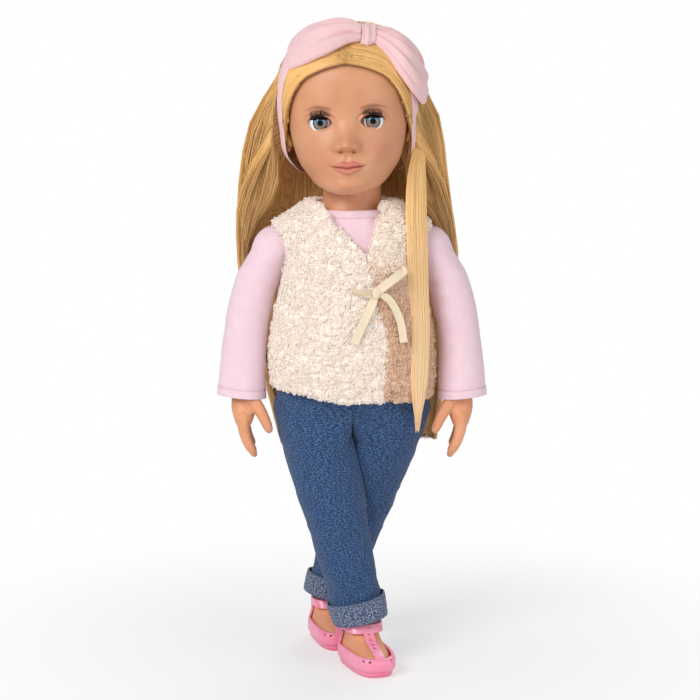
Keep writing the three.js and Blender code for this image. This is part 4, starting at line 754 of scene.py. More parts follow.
def seat_half(name):
    rows, columns = 90, 120
    side = SIDES[name]
    height = steps_up(154, 214, rows, columns)
    share = np.linspace(0, 1, columns) * np.ones((rows, 1))
    waist_turn = (share - 0.5) * math.pi
    half = row_value(seat_rows, height, 1)
    front = -row_value(seat_rows, height, 2)
    back = row_value(seat_rows, height, 3)
    c, s = np.cos(waist_turn), np.sin(waist_turn)
    reach = np.where(s < 0, front, back)
    waist = joined(np.abs(c) ** (2 / 2.35) * half * side, rounded(s, 2 / 2.35) * reach, height)
    wide = math.radians(52)
    leg_turn = (share - 0.5) * (math.pi + 2 * wide)
    leg_turn = leg_turn if side > 0 else math.pi - leg_turn
    under = 0.45 - 1.3 * (1 - ease(height, 154, 163))
    leg = trouser_ring(name, np.minimum(height, HIP_HEIGHT), leg_turn, under)
    leg[..., 2] = height
    down = 1 - ease(height, 158, 190)
    # The edge on the middle line stays there, down to the fork, so both halves keep meeting
    edge = 1 - np.minimum(share, 1 - share) / 0.16
    fork = ease(edge, 0, 1) * ease(height, 157, 168)
    leg[..., 0] = leg[..., 0] * (1 - fork) + side * 0.15 * fork
    points = waist * (1 - down[..., None]) + leg * down[..., None]
    field = joined(share * 60 * side, height * 0.9 + share * 20, 0)
    folds = soft_noise(field, 9, 21 + side) * 0.5
    points[..., 1] += np.sign(s) * folds * np.abs(s)
    points[..., 0] += side * folds * np.abs(c) * 0.6
    faces = grid_faces(rows, columns, closed=False)
    if side < 0:
        faces = faces[:, ::-1]
    made = piece(
        f"jeans_seat_{name}", points, faces, denim_out, slot="denim", node="jeans_hips",
        flat=joined(share * 95 * side, height),
    )
    keep_mask(made, "crest", ease(folds, 0.2, 0.6) * 0.4)
    thickened(made, 0.0009)
    bend_ends = [tuple(to_metres([side * HIP_HALF, 0, z])) for z in (200, 166)]
    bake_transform(made)
    return made


for name in SIDES:
    seat_half(name)

# %% [markdown]
# The hem of each leg is turned up once, wrong side out. It stands about two millimetres off the leg, a
# little fuller at its top edge, with two rows of hem stitches and soft dents.

# %% Turned-up cuffs


def cuff(name):
    rows, columns = 64, 200
    turn = turns(rows, columns)
    around = steps_up(0, 1, rows, columns)
    # The strip runs up the outside, over the rolled top edge, down inside and under the hem back to its start
    low, high = HEM - 0.8, HEM + 14
    loop = around * 2 * math.pi
    z = (low + high) / 2 - np.cos(loop) * (high - low) / 2
    corner = np.abs(np.sin(loop)) ** 0.35 * np.sign(np.sin(loop))
    lift = 1.75 + 0.95 * corner
    seed = 31 if name == "left" else 47
    ripple = soft_noise(joined(turn * 9, z * 0.5, 0), 5.5, seed) * 0.55
    flare = 0.5 * ease(z, low, high)
    points = trouser_ring(name, z, turn, 0.0)
    points = points + from_leg_middle(name, points) * (lift + ripple + flare)[..., None]
    tilt = 0.9 * np.cos(turn + (0.5 if name == "right" else 2.2)) * ease(z, low, high)
    points[..., 2] += tilt + hem_rise(name, points)
    made = piece(
        f"jeans_cuff_cloth_{name}", points, grid_faces(rows, columns), denim_in, body=f"leg_{name}",
        slot="denim_inside", node=f"jeans_cuff_{name}", flat=joined(turn * 19, around * 32),
    )
    keep_mask(made, "crest", ease(ripple, 0.1, 0.5) * 0.5)
    return made


for name in SIDES:
    cuff(name)
print("cuffs and seat done")

# %% [markdown]
# The skin is soft vinyl that lets a little light in. Lips, brows, lid lines, blush and nails are paint,
# mixed in where a mask says so. The doll holds its head a little aside, so most pieces on it are made
# upright first and then tilted together.

# %% Skin finish
HEAD_TILT = (
    Matrix.Translation((0, 3, 322))
    @ Matrix.Rotation(math.radians(-2), 4, "Z")
    @ Matrix.Rotation(math.radians(-2.2), 4, "Y")
    @ Matrix.Translation((0, -3, -322))
)
TILT = np.array(HEAD_TILT)


def tilted(points):
    """Points of the upright head in their place on the doll, which holds its head a little aside."""
    flat = np.reshape(points, (-1, 3))
    return (flat @ TILT[:3, :3].T + TILT[:3, 3]).reshape(np.shape(points))


def painted(tree, color, mask_name, paint, share=1.0):
    """A colour with a painted area laid over it."""
    return blend(tree, times(tree, stored(tree, mask_name), share, clamp=True), color, paint)


face_paint = [
    ("blush", "d9826c", 0.55), ("shade", "8a4a34", 0.8), ("brow", "86492b", 1.0), ("liner", "1f110c", 0.95),
    ("lips", "cb7268", 0.82),
]
limb_paint = [("blush", "d58468", 0.5), ("nail", "e9b39b", 0.7)]


def vinyl(name, paints, tone, patch):
    """Soft vinyl with its painted areas, each a mask name, a colour and a share."""
    material, tree, shader = recipe(
        name, "d89b78", 0.46,
        Subsurface_Weight=0.22, Subsurface_Scale=0.004, Coat_Weight=0.06, Coat_Roughness=0.35,
    )
    shader.inputs["Subsurface Radius"].default_value = (1.0, 0.4, 0.22)
    place = object_place(tree)
    color = blend(tree, ramp(tree, grain(tree, place, 38.0, 3.0), 0.35, 0.7), tone, patch)
    for mask_name, paint, share in paints:
        color = painted(tree, color, mask_name, paint, share)
    if paints is face_paint:
        gloss = times(tree, stored(tree, "lips"), 0.16)
        tree.links.new(maths(tree, "SUBTRACT", 0.46, gloss), shader.inputs["Roughness"])
    show_color(tree, shader, color)
    bump_into(tree, shader, grain(tree, place, 1500.0), 0.00004, 0.35)
    return material


face_vinyl = vinyl("face_vinyl", face_paint, "d99c75", "d08f68")
limb_vinyl = vinyl("limb_vinyl", limb_paint, "ecaa80", "e29d71")

# %% [markdown]
# The head is rotation-moulded vinyl: one thin skin with the nose, lips, chin and cheeks raised from a plain
# egg, and two almond holes for the sleep eyes. Here the egg is a fine grid of rings. Each feature is a soft
# mound added in front of it, and the painted parts (lips, brows, blush) are masks kept on the same grid.

# %% Head form
head_rows = [
    (338.6, 8, -36, -22), (341, 16.5, -41, -12), (346, 25, -44, -1), (353, 31, -45, 10),
    (360, 35.5, -45.2, 22), (368, 38.5, -44.8, 34), (376, 40.5, -44.2, 42), (386, 42.6, -43.4, 48),
    (396, 44, -43.6, 51), (408, 44.8, -44.3, 52.5), (420, 43.6, -43, 51), (430, 40.8, -39.5, 47.5),
    (440, 34.8, -32, 40), (448, 25, -21, 28), (452.5, 12, -9, 14),
]
EYE_X, EYE_Z, EYE_Y, EYE_RADIUS = 18.4, 389.5, -32.3, 8.5
EYE_HALF, EYE_UP, EYE_DOWN = 7.4, 5.0, 4.1


def mouth_line(x):
    return 358.1 + 1.1 * (np.abs(x) / 12) ** 2 - 0.6 * bell(x, 0, 2.6)


def lip_shares(x, z):
    """How far up the upper lip and down the lower lip each point is, from 0 in the mouth to 1 at the edge."""
    side = np.clip(np.abs(x) / 12, 0, 1)
    upper = 4.9 * (1 - side**1.7) + 0.55 * bell(np.abs(x), 3.3, 1.7) - 0.6 * bell(x, 0, 1.5)
    lower = 5.0 * (1 - (np.abs(x) / 10.8) ** 2)
    rise = z - mouth_line(x)
    return rise / np.maximum(upper, 0.05), -rise / np.maximum(lower, 0.05)


def hump(share):
    """A soft mound over 0..1 of a share, with nothing outside it."""
    inside = (share > 0) & (share < 1)
    return np.where(inside, np.sin(np.clip(share, 0, 1) * math.pi) ** 0.8, 0)


def eye_ring(x, z):
    """Distance from the middle of the eye opening, where 1 is its edge."""
    dx = (np.abs(x) - EYE_X) / EYE_HALF
    dz = z - EYE_Z - 0.5 * dx
    return np.hypot(dx, dz / np.where(dz > 0, EYE_UP, EYE_DOWN)), dz


# Each soft mound of the face: its height, then its middle and spread sideways, then the same upright
face_mounds = [
    (2.3, 0, 6.4, 373.8, 4.2),  # tip of the nose
    (2.7, 7.2, 2.7, 372.2, 2.9),  # nose wings
    (-2.6, 4.5, 1.5, 369.2, 0.95),  # nostrils
    (-0.5, 0, 1.5, 364.6, 1.8),  # groove over the lip
    (0.45, 2.6, 1.1, 364.8, 1.8),  # edges of the groove
    (1.3, 0, 11, 359, 7),  # round of the mouth
    (-0.9, 0, 7, 350.4, 2.0),  # dip under the lip
    (-0.7, 12.7, 1.5, 359, 1.8),  # mouth corners
    (2.0, 0, 8.5, 344.3, 4.2),  # chin
    (2.2, 21, 10, 367, 9.5),  # cheeks
    (-2.1, EYE_X - 0.5, 9.5, EYE_Z + 1, 7.5),  # eye sockets
    (0.8, 20, 10, 401.5, 4),  # brow ridges
    (-1.9, 10.4, 3.4, 389.5, 5),  # inner eye corners
]


def face_relief(x, z):
    """How far the face stands out from the plain egg: the mounds, nose bridge, lips and lids."""
    side = np.abs(x)
    bridge = ease(394 - z, 0, 20) * ease(z, 367.8, 373)
    relief = (4.7 * bell(x, 0, 5.7 + 0.035 * (394 - z)) + 2.6 * bell(x, 0, 9)) * bridge
    for rise, across, wide, upright, high in face_mounds:
        relief = relief + rise * bell(side, across, wide) * bell(z, upright, high)
    up, down = lip_shares(x, z)
    relief += (1.5 * hump(up) + 2.1 * hump(down)) * ease(12.6 - side, 0, 5)
    relief -= 1.15 * bell(z - mouth_line(x), 0, 0.55) * ease(12.8 - side, 0, 1.5)
    ring, drop = eye_ring(x, z)
    upper_lid = 1.35 * bell(ring, 1.18, 0.2) * ease(drop, -1.5, 2)
    lower_lid = 0.9 * bell(ring, 1.12, 0.16) * ease(-drop, -1, 2)
    return relief + upper_lid + lower_lid - 0.55 * bell(ring, 1.52, 0.09) * ease(drop, 1.5, 4)


def head_surface(z, angle, grow=0.0):
    """The plain egg of the head at heights and turns, and how squarely each point faces front."""
    half, front, back = row_values(head_rows, z)
    middle = np.clip(0, front + 14, back - 8)
    c, s = np.cos(angle), np.sin(angle)
    reach = np.where(s < 0, middle - front, back - middle)
    x = rounded(c, 2 / 2.15) * (half + grow)
    y = middle + rounded(s, 2 / 2.15) * (reach + grow)
    return x, y, ease(-s, 0.2, 0.7)


HEAD_PART = {"body": "head", "slot": "skin_vinyl", "node": "head_shell"}


def head_skin():
    rows, columns = 400, 460
    low, high = 338.6, 452.5
    share = np.linspace(0, 1, rows)
    height = low + (high - low) * (0.16 * (1 - np.cos(share * math.pi)) / 2 + 0.84 * share)
    height = height[:, None] * np.ones(columns)
    turn = turns(rows, columns)
    angle = turn - 0.45 * np.cos(turn)
    x, y, facing = head_surface(height, angle)
    points = joined(x, y - face_relief(x, height) * facing, height)
    faces = grid_faces(rows, columns)
    crown = np.arange((rows - 1) * columns, rows * columns)
    base = np.arange(columns)[::-1]
    ring, drop = eye_ring(x, height)
    ring = np.where(facing > 0.05, ring, 9).ravel()
    inside = ring < 1
    keep = ~inside[faces].all(axis=1)
    opened = faces[keep]
    # The points left inside the opening move out to its edge, so the lids have a clean line
    move = np.zeros(len(ring), dtype=bool)
    move[np.unique(opened)] = True
    move &= inside
    flat_points = points.reshape(-1, 3)
    for side in (-1, 1):
        near = move & (np.sign(flat_points[:, 0]) == side)
        dx = (flat_points[near, 0] * side - EYE_X) / ring[near]
        tilt_part = 0.5 * (flat_points[near, 0] * side - EYE_X) / EYE_HALF
        dz = (flat_points[near, 2] - EYE_Z - tilt_part) / ring[near]
        flat_points[near, 0] = side * (EYE_X + dx)
        flat_points[near, 2] = EYE_Z + dz + 0.5 * dx / EYE_HALF
    all_faces = [tuple(f) for f in opened] + [tuple(crown), tuple(base)]
    made = piece("head_skin", tilted(flat_points), all_faces, face_vinyl, **HEAD_PART)
    x, z, facing = x.ravel(), height.ravel(), facing.ravel()
    side = np.abs(x)
    up, down = lip_shares(x, z)
    lower_lip = 0.72 * ease(1.04 - down, 0, 0.14) * (down > -0.02)
    lips = np.maximum(ease(1.04 - up, 0, 0.14) * (up > -0.02), lower_lip)
    lips *= ease(12.4 - side, 0, 1.6) * facing
    along_brow = np.clip((side - 9) / 21, 0, 1)
    arch = 398 + 2.5 * np.sin(along_brow * math.pi * 0.94) - 0.8 * ease(side, 20, 30)
    stroke = 0.62 + 0.38 * np.sin(x * 7.1 + z * 4.5 + 2.2 * np.sin(z * 2.1))
    thick = 0.95 * ease(side, 8.6, 12) * ease(30.6 - side, 0, 12) + 0.12
    brow_ends = ease(side, 8.6, 11) * ease(30.6 - side, 0, 3)
    brow = bell(z, arch, thick) * brow_ends * stroke * facing
    ring, drop = eye_ring(x, z)
    lash_line = bell(ring, 1.02, 0.15) * ease(drop, -2.2, 0.5)
    liner = bell(ring, 1.02, 0.06) * ease(drop, -2.4, 0.8) * facing
    nostril = bell(side, 4.5, 1.3) * bell(z, 369.3, 0.8)
    parting = bell(z - mouth_line(x), 0, 0.4) * ease(12.6 - side, 0, 2)
    crease = 0.22 * bell(ring, 1.5, 0.07) * ease(drop, 1.5, 4)
    lower_line = 0.3 * bell(ring, 1.03, 0.07) * ease(-drop, 0.5, 2.5)
    # The shade mask holds painted shade in the nostrils, the mouth line and the lid crease, with the brown
    # lines along both lids.
    shade = (lash_line * 1.1 + nostril * 0.55 + parting * 0.6 + crease + lower_line) * facing
    blush = 0.42 * bell(side, 24, 9) * bell(z, 368, 8) + 0.4 * bell(x, 0, 5) * bell(z, 371, 4)
    blush += 0.35 * bell(ring, 1.3, 0.4)
    masks = {"lips": lips, "brow": brow, "shade": shade, "blush": blush * facing, "liner": liner}
    for mask_name, values in masks.items():
        keep_mask(made, mask_name, values)
    # Points that no face uses any more are removed; then the skin gets its thickness
    clean = bmesh.new()
    clean.from_mesh(made.data)
    bmesh.ops.delete(clean, geom=[v for v in clean.verts if not v.link_faces], context="VERTS")
    clean.to_mesh(made.data)
    clean.free()
    return thickened(made, 0.0016)


head_piece = head_skin()
print("head skin:", len(head_piece.data.polygons), "faces")

# %% [markdown]
# The neck is a plain turned part of the same vinyl, with a soft crease under the jaw. Each ear is a
# flattened shell whose edge rolls forward round a hollow.

# %% Neck and ears


def neck_skin():
    rows, columns = 60, 72
    profile = [
        (312, 17), (317, 17), (320.5, 20), (325.6, 23.4), (327, 23.2), (330, 22.1), (334, 21.2), (340, 20.8),
        (346, 20.8), (362, 20.6),
    ]
    z = steps_up(312, 362, rows, columns)
    radius = row_value(profile, z, 1)
    turn = turns(rows, columns)
    points = joined(radius * np.cos(turn), radius * np.sin(turn) + 3, z)
    piece("neck_skin", points, grid_faces(rows, columns), face_vinyl, **HEAD_PART)


def ear_skin(name, side):
    rows, columns = 60, 90
    rise = steps_up(0.001, math.pi - 0.001, rows, columns)
    turn = turns(rows, columns)
    # An egg on its edge: local a is outward, b runs back, c runs up
    a = np.sin(rise) * np.cos(turn)
    b = np.sin(rise) * np.sin(turn)
    c = np.cos(rise)
    width = 5.6 + 1.4 * c
    rim = np.hypot(b, c)
    bowl = -2.9 * bell(rim, 0.18, 0.42) + 0.9 * bell(rim, 0.86, 0.16) - 0.5 * bell(rim, 0.62, 0.1)
    out = a * 3.0 + np.where(a > 0, bowl * a, 0)
    local = joined(out, b * width, c * 10.5)
    spin = Matrix.Rotation(math.radians(20 * side), 3, "Z") @ Matrix.Rotation(math.radians(-8), 3, "X")
    local[..., 0] *= side
    placed = local.reshape(-1, 3) @ np.array(spin).T + np.array([side * 43.2, 3, 378.5])
    faces = grid_faces(rows, columns)[:, ::-side]
    piece(f"ear_skin_{name}", tilted(placed), faces, face_vinyl, **HEAD_PART)


neck_skin()
for name, side in SIDES.items():
    ear_skin(name, side)

# %% [markdown]
# A sleep eye is a hard glossy ball that shows through the lids. Its iris is a printed disc: a dark rim,
# fine spokes from the pupil, blue-grey above and warm grey below. The ball's pole points forward, so its
# flat coordinates are the turn round the iris and the distance from its middle, both in simple numbers.

# %% Eyes


def front_depth(x, z, grow=0.0):
    """How far forward the plain egg of the head comes at each place."""
    half, front, back = row_values(head_rows, z)
    front = front - grow
    middle = np.clip(0, front + 14, back - 8)
    share = np.clip(np.abs(x) / (half + grow), 0, 0.999)
    return middle - (middle - front) * (1 - share**2.15) ** (1 / 2.15)


def lid_rim(name, side):
    """The thickness of both lids: a band from the edge of the opening back to the ball."""
    steps, columns = 8, 120
    turn = turns(steps, columns)
    depth = steps_up(0, 1, steps, columns)
    ring = 1.035 - 0.085 * depth
    dx = np.cos(turn) * ring
    dz = np.sin(turn) * ring * np.where(np.sin(turn) > 0, EYE_UP, EYE_DOWN)
    x = EYE_X + dx * EYE_HALF
    z = EYE_Z + dz + 0.5 * dx
    skin = front_depth(x, z) - face_relief(x, z) + 0.12
    ball = EYE_Y - np.sqrt(np.maximum(EYE_RADIUS**2 - (x - EYE_X) ** 2 - (z - EYE_Z) ** 2, 4)) - 0.05
    roll = np.sin(depth * math.pi / 2)
    y = skin * (1 - roll) + np.maximum(ball, skin) * roll
    points = joined(side * x, y, z)
    faces = grid_faces(steps, columns)
    faces = faces if side > 0 else faces[:, ::-1]
    made = piece(f"lid_rim_{name}", tilted(points), faces, face_vinyl, **HEAD_PART)
    shade = (0.25 + 0.75 * ease(np.sin(turn), -0.35, 0.35)) * ease(depth, 0.0, 0.4)
    keep_mask(made, "shade", shade)


for name, side in SIDES.items():
    lid_rim(name, side)

eye_finish, tree, shader = recipe(
    "eye_gloss", "efecec", 0.15, Coat_Weight=0.25, Coat_Roughness=0.03, Specular_IOR_Level=0.2
)
flat = cloth_place(tree)
from_middle = wire(tree, "ShaderNodeSeparateXYZ", in0=flat).outputs["Y"]
height = stored(tree, "crest")
spokes = grain(tree, stretched(tree, flat, (9.0, 1.2, 1.0)), 1.0, 3.0)
iris = blend(tree, ramp(tree, height, 0.42, 0.66), "968271", "5590b8")
iris = blend(tree, ramp(tree, spokes, 0.4, 0.75), iris, "4a5560")
iris = blend(tree, ramp(tree, from_middle, 4.3, 5.1), iris, "2b3844")
iris = blend(tree, opposite(tree, ramp(tree, from_middle, 2.0, 2.3)), iris, "040303")
# The white is painted darker away from the iris, as shade toward the lids and corners.
white = blend(tree, ramp(tree, from_middle, 5.8, 9.0), "f3f1f1", "c9b9b4")
color = blend(tree, opposite(tree, ramp(tree, from_middle, 5.3, 5.6)), white, iris)
color = blend(tree, ramp(tree, height, 0.70, 0.735), color, "140b09")
show_color(tree, shader, color)


def grained(name, color, roughness, tones, scale, contrast=None, bump=None, detail=2.0, **values):
    """Two tones that follow one noise, with its contrast range and its bump height and strength."""
    material, tree, shader = recipe(name, color, roughness, **values)
    noise = grain(tree, object_place(tree), scale, detail)
    share = ramp(tree, noise, *contrast) if contrast else noise
    show_color(tree, shader, blend(tree, share, *tones))
    if bump:
        bump_into(tree, shader, noise, *bump)
    return material


lash_finish = grained("dark_lash", "2a1710", 0.55, ("24130d", "3c251b"), 900.0)


def eyeball(name, side):
    rows, columns = 90, 96
    polar = steps_up(0.004, math.pi - 0.004, rows, columns)
    turn = turns(rows, columns)
    cornea = 0.35 * ease(0.62 - polar, 0, 0.25)
    radius = EYE_RADIUS + cornea - 0.35
    x = radius * np.sin(polar) * np.cos(turn)
    z = radius * np.sin(polar) * np.sin(turn)
    y = -radius * np.cos(polar)
    # The doll looks straight at the camera, a little up and to its own right
    look = Matrix.Rotation(math.radians(2.0), 3, "Z") @ Matrix.Rotation(math.radians(1.5), 3, "X")
    local = joined(x, y, z).reshape(-1, 3) @ np.array(look).T
    placed = local + np.array([side * EYE_X, EYE_Y, EYE_Z])
    quarter = math.pi / 2
    from_pole = EYE_RADIUS * np.sin(np.minimum(polar, quarter)) + 9 * np.maximum(polar - quarter, 0)
    made = piece(
        f"eyeball_{name}_gloss", tilted(placed), grid_faces(rows, columns), eye_finish,
        body=f"eye_{name}", slot="eye_gloss", node=f"eyeball_{name}",
        flat=joined(np.abs(turn - math.pi), from_pole),
    )
    keep_mask(made, "crest", 0.5 + local[:, 2] / 9)
    return made


def hairs(name, paths, radii, material, body, slot=None, node=None, tone=None, sides=3):
    """Thin tapered fibres. Paths are fibres by points by XYZ, radii are points or fibres by points."""
    paths = np.asarray(paths, dtype=float)
    count, steps = paths.shape[:2]
    ahead = unit(np.gradient(paths, axis=1), 1e-9)
    guide = np.zeros_like(ahead)
    guide[..., 1] = 1
    guide[..., 0] = 0.31
    side = unit(np.cross(ahead, guide), 1e-9)
    other = np.cross(ahead, side)
    radii = np.broadcast_to(radii, (count, steps))[..., None]
    corners = []
    for k in range(sides):
        angle = 2 * math.pi * k / sides
        corners.append(paths + (side * math.cos(angle) + other * math.sin(angle)) * radii)
    points = np.stack(corners, axis=2)
    c, s, k = np.meshgrid(np.arange(count), np.arange(steps - 1), np.arange(sides), indexing="ij")
    first = (c * steps + s) * sides
    a = first + k
    b = first + (k + 1) % sides
    faces = joined(a, b, b + sides, a + sides).reshape(-1, 4)
    steps_along = np.linalg.norm(np.diff(paths, axis=1), axis=-1)
    length = np.concatenate([np.zeros((count, 1)), np.cumsum(steps_along, axis=1)], axis=1)
    own = np.arange(count)[:, None] * 0.618 % 1 * 40 * np.ones((1, steps))
    flat = joined(own, length)[:, :, None, :] * np.ones((1, 1, sides, 1))
    made = piece(name, points, faces, material, body=body, slot=slot, node=node, flat=flat)
    if tone is not None:
        keep_mask(made, "crest", np.repeat(np.broadcast_to(tone, (count, steps)).ravel(), sides))
    return made


def lashes(name, side):
    """A fan of curved lashes along the upper lid. They ride on the eye, so they close with it."""
    rng = np.random.default_rng(31 + side)
    count, steps = 76, 9
    share = np.linspace(-1, 1, count) + rng.uniform(-0.03, 0.03, count)
    bend = np.linspace(0, 1, steps)
    across = share * 0.78
    length = 4.5 * (1 - 0.22 * share**2) * rng.uniform(0.85, 1.1, count) + 0.5 * (share > 0.4)
    # The root sits on the ball just under the lid's edge
    root_x = EYE_HALF * across
    root_z = EYE_UP * np.sqrt(1 - across**2) - 0.35
    root_y = -np.sqrt(np.maximum(EYE_RADIUS**2 - root_x**2 - root_z**2, 1)) - 0.1
    fan = share * 0.55
    forward = -4.0 * ease(bend, 0, 0.75)
    upward = 0.25 * ease(bend, 0.05, 0.4) + 0.85 * ease(bend, 0.3, 1.15)
    path = np.zeros((count, steps, 3))
    path[..., 0] = side * (root_x[:, None] + fan[:, None] * length[:, None] * bend * 0.8) + side * EYE_X
    path[..., 1] = EYE_Y + root_y[:, None] + forward
    path[..., 2] = EYE_Z + root_z[:, None] + upward * length[:, None]
    radii = 0.17 * (1 - 0.85 * bend**1.5) + 0.36 * bell(bend, 0, 0.16)
    hairs(
        f"lashes_{name}", tilted(path), radii, lash_finish, f"eye_{name}",
        slot="lash", node=f"eyelash_{name}", sides=4,
    )


for name, side in SIDES.items():
    eyeball(name, side)
    lashes(name, side)
print("eyes and lashes done")

# %% [markdown]
# Doll hair is rooted in rows, parted in the middle, wetted flat at the front and left long behind. A soft
# base shape, painted darker as shade, fills the inside, and thousands of thin tapered fibres lie over it.
# Every fibre follows the comb: at the front from the parting outward and under the headband, behind the
# band over the crown and straight down the back.

# %% Hair finish


def fibres(name, dark, bright, streak_color, tips, tip_share, glow=0.0):
    """Hair colour: each fibre has its own tone, which also carries painted shade and highlight, with long pale
    streaks and paler ends. The glow is painted light.
    """
    material, tree, shader = recipe(name, bright, 0.42, Specular_IOR_Level=0.4, Emission_Strength=glow)
    streak = grain(tree, stretched(tree, cloth_place(tree), (3.1, 0.012, 1.0)))
    height = wire(tree, "ShaderNodeSeparateXYZ", in0=object_place(tree)).outputs["Z"]
    color = blend(tree, stored(tree, "crest"), dark, bright)
    color = blend(tree, times(tree, ramp(tree, streak, 0.4, 0.65), 0.35), color, streak_color)
    below = opposite(tree, ramp(tree, height, 0.2, 0.36))
    color = blend(tree, times(tree, below, tip_share), color, tips)
    show_color(tree, shader, color, with_painted_glow=True)
    return material


hair_finish = fibres("golden_hair", "7f4a1b", "fbc478", "ffdb9e", "ffdca8", 0.25)
# The pale lock gets a small painted glow, for light passing through its fibres.
pale_hair_finish = fibres("pale_hair", "dda058", "ffd792", "ffe2b0", "ffdeb4", 0.75, 0.09)

# The base is painted darker than the fibres, as shade deep inside the hair.
under_hair_shade, tree, shader = recipe("hair_underneath_shaded", "8f6431", 0.7)
strands = grain(tree, stretched(tree, object_place(tree), (1100.0, 1100.0, 14.0)), 1.0, 3.0)
color = blend(tree, ramp(tree, strands, 0.35, 0.65), "a97b43", "d8aa66")
show_color(tree, shader, color)
bump_into(tree, shader, strands, 0.0006, 0.8)


def copy_of(node, name, finish, voxel, smooth_rounds, grow=0.0):
    """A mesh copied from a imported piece, remeshed finely and grown or shrunk along its surface, in metres."""
    made = bpy.data.objects.new(name, bpy.data.objects[node].data.copy())
    scene.collection.objects.link(made)
    melt(made, voxel, smooth_rounds, finish)
    if grow:
        set_vertices(made, vertices_of(made) + normals_of(made) * grow)
    return made


# %% [markdown]
# The front hair is combed flat from the middle parting to the band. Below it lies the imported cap, a little
# smaller, so no scalp shows between the fibres.

# %% Hair over the head
hairline = [(0, 429.5), (9, 428), (17, 425.5), (30, 418.5), (37.5, 407), (41.5, 396), (43.5, 384), (46, 375)]
band_path = [
    (0, -18.5, 459.6), (19, -21, 455), (33, -23, 443), (42.5, -22, 426), (48.5, -17, 406), (50, -9, 386),
    (46.5, 0, 370), (42, 12, 361),
]


def through(points, shares):
    """Places along a path of points, by share of its length."""
    points = np.asarray(points, dtype=float)
    reach = reach_along(points)
    reach /= reach[-1]
    return np.stack([row_value(list(zip(reach, values)), shares, 1) for values in points.T], axis=-1)


def cap_points(thickness, rows=60, columns=120):
    """The outside of the combed hair as a grid of rings over the head."""
    share = np.linspace(0, 1, rows)
    height = (352 + 100.5 * np.sin(share * math.pi / 2))[:, None] * np.ones(columns)
    turn = turns(rows, columns)
    x, y, facing = head_surface(height, turn, thickness)
    puff = ease(y, 4, 26) * ease(448 - height, 0, 40)
    sideways = np.minimum(np.abs(x) / 40, 1)
    lift = np.where(height < 400, 0, thickness * ((height - 400) / 52.5) ** 2)
    return joined(x * (1 + 0.2 * puff * sideways), y + 3 * puff, height + lift)


cap_grid = cap_points(3.9)
*cap_walls, _, cap_top = capped_faces(60, 120)
cap_tree = BVHTree.FromPolygons([Vector(p) for p in cap_grid.reshape(-1, 3)], [*cap_walls, cap_top])
HEAD_MIDDLE = np.array([0, 4, 398.0])


def onto_cap(points, lift):
    """Moves points straight out from the middle of the head to the combed surface and a little above it."""
    flat = np.reshape(points, (-1, 3)) - HEAD_MIDDLE
    flat = unit(flat)
    middle = Vector(HEAD_MIDDLE)
    reach = np.empty(len(flat))
    for i, direction in enumerate(flat):
        hit = cap_tree.ray_cast(middle, Vector(direction))
        reach[i] = hit[3] if hit[0] else 50
    lifted = HEAD_MIDDLE + flat * (reach + np.ravel(np.broadcast_to(lift, np.shape(points)[:-1])))[:, None]
    return lifted.reshape(np.shape(points))


def combed_front(name, side):
    """Fibres from the parting outward, close along the hairline at first and then under the band."""
    rng = np.random.default_rng(100 + side)
    count, steps = 1700, 14
    along = np.linspace(0, 1, steps)
    line = np.array([(x, front_depth(x, z, 3.2), z) for x, z in hairline])
    edge = through(line, along)
    band = through(band_path[:7], along)
    start = rng.uniform(0, 1, count) ** 0.85
    by_parting = 260
    start[:by_parting] = rng.uniform(0, 0.12, by_parting)
    drift = 0.42 + 0.25 * rng.uniform(0, 1, count)
    share = start[:, None] + (1.12 - start[:, None]) * drift[:, None] * along ** 1.6
    share[:by_parting] = start[:by_parting, None] + 0.2 * along ** 2
    path = edge[None] * (1 - share[..., None]) + band[None] * share[..., None]
    path[..., 0] = np.maximum(path[..., 0], -0.35 + 2.2 * along)
    wave = 0.35 * np.sin(along * 7 + start[:, None] * 30)
    depth = rng.uniform(-0.9, 0.55, count)
    lift = depth[:, None] + wave * 0.5 - 0.5 * (1 - along) ** 3
    lift += np.sin(np.clip(share, 0, 1) * math.pi) * np.sin(np.clip(along * 1.3, 0, 1) * math.pi)
    path[..., 0] *= side
    placed = onto_cap(path, lift)
    # Besides its own tone, each fibre carries painted shade: deep fibres, the roots at the parting and the
    # hairline edge are darker. A lighter band part way along the fibres is a painted highlight.
    tone = 0.55 + 0.45 * rng.uniform(0, 1, count) - 0.3 * (depth < -0.4) + 0.12 * np.sin(start * 60)
    tone = tone[:, None] + 0.3 * bell(along, 0.35, 0.2) - 0.12 * bell(along, 0, 0.05) - 0.2 * (share < 0.03)
    radii = 0.30 * np.minimum(1, 0.35 + 5 * along) * np.ones((count, 1))
    return hairs(
        f"front_hair_{name}", tilted(placed), radii, hair_finish, "head",
        slot="hair", node="hair_cap", tone=np.clip(tone, 0, 1),
    )


# %% [markdown]
# The long hair is a curtain round the back. Each fibre starts under the band, crosses the crown and falls
# in loose tufts to a blunt cut at the thighs.

# %% Long hair
fall_rows = [
    (148, 58, 50, 56, 44.5, 44), (176, 63, 54, 60, 45, 43.5), (210, 70, 57.5, 66, 45.5, 43),
    (245, 77, 60.5, 72, 45.5, 40), (276, 82, 62.5, 76, 45.5, 36), (300, 81, 63.5, 74, 43, 29),
    (318, 79, 64, 66, 38, 22), (330, 77, 64, 48, 34, 12), (345, 75.5, 63.5, 45, 36, 6),
    (352, 74.5, 63.5, 44, 40, 4), (370, 73, 64, 44, 44, 4), (392, 68.5, 64, 43, 50, 7),
    (411, 61.5, 63, 42, 54, 11), (425, 52, 60.5, 39, 50, 16), (434, 43, 57, 36, 49, 22),
]
FALL_END = 149.0


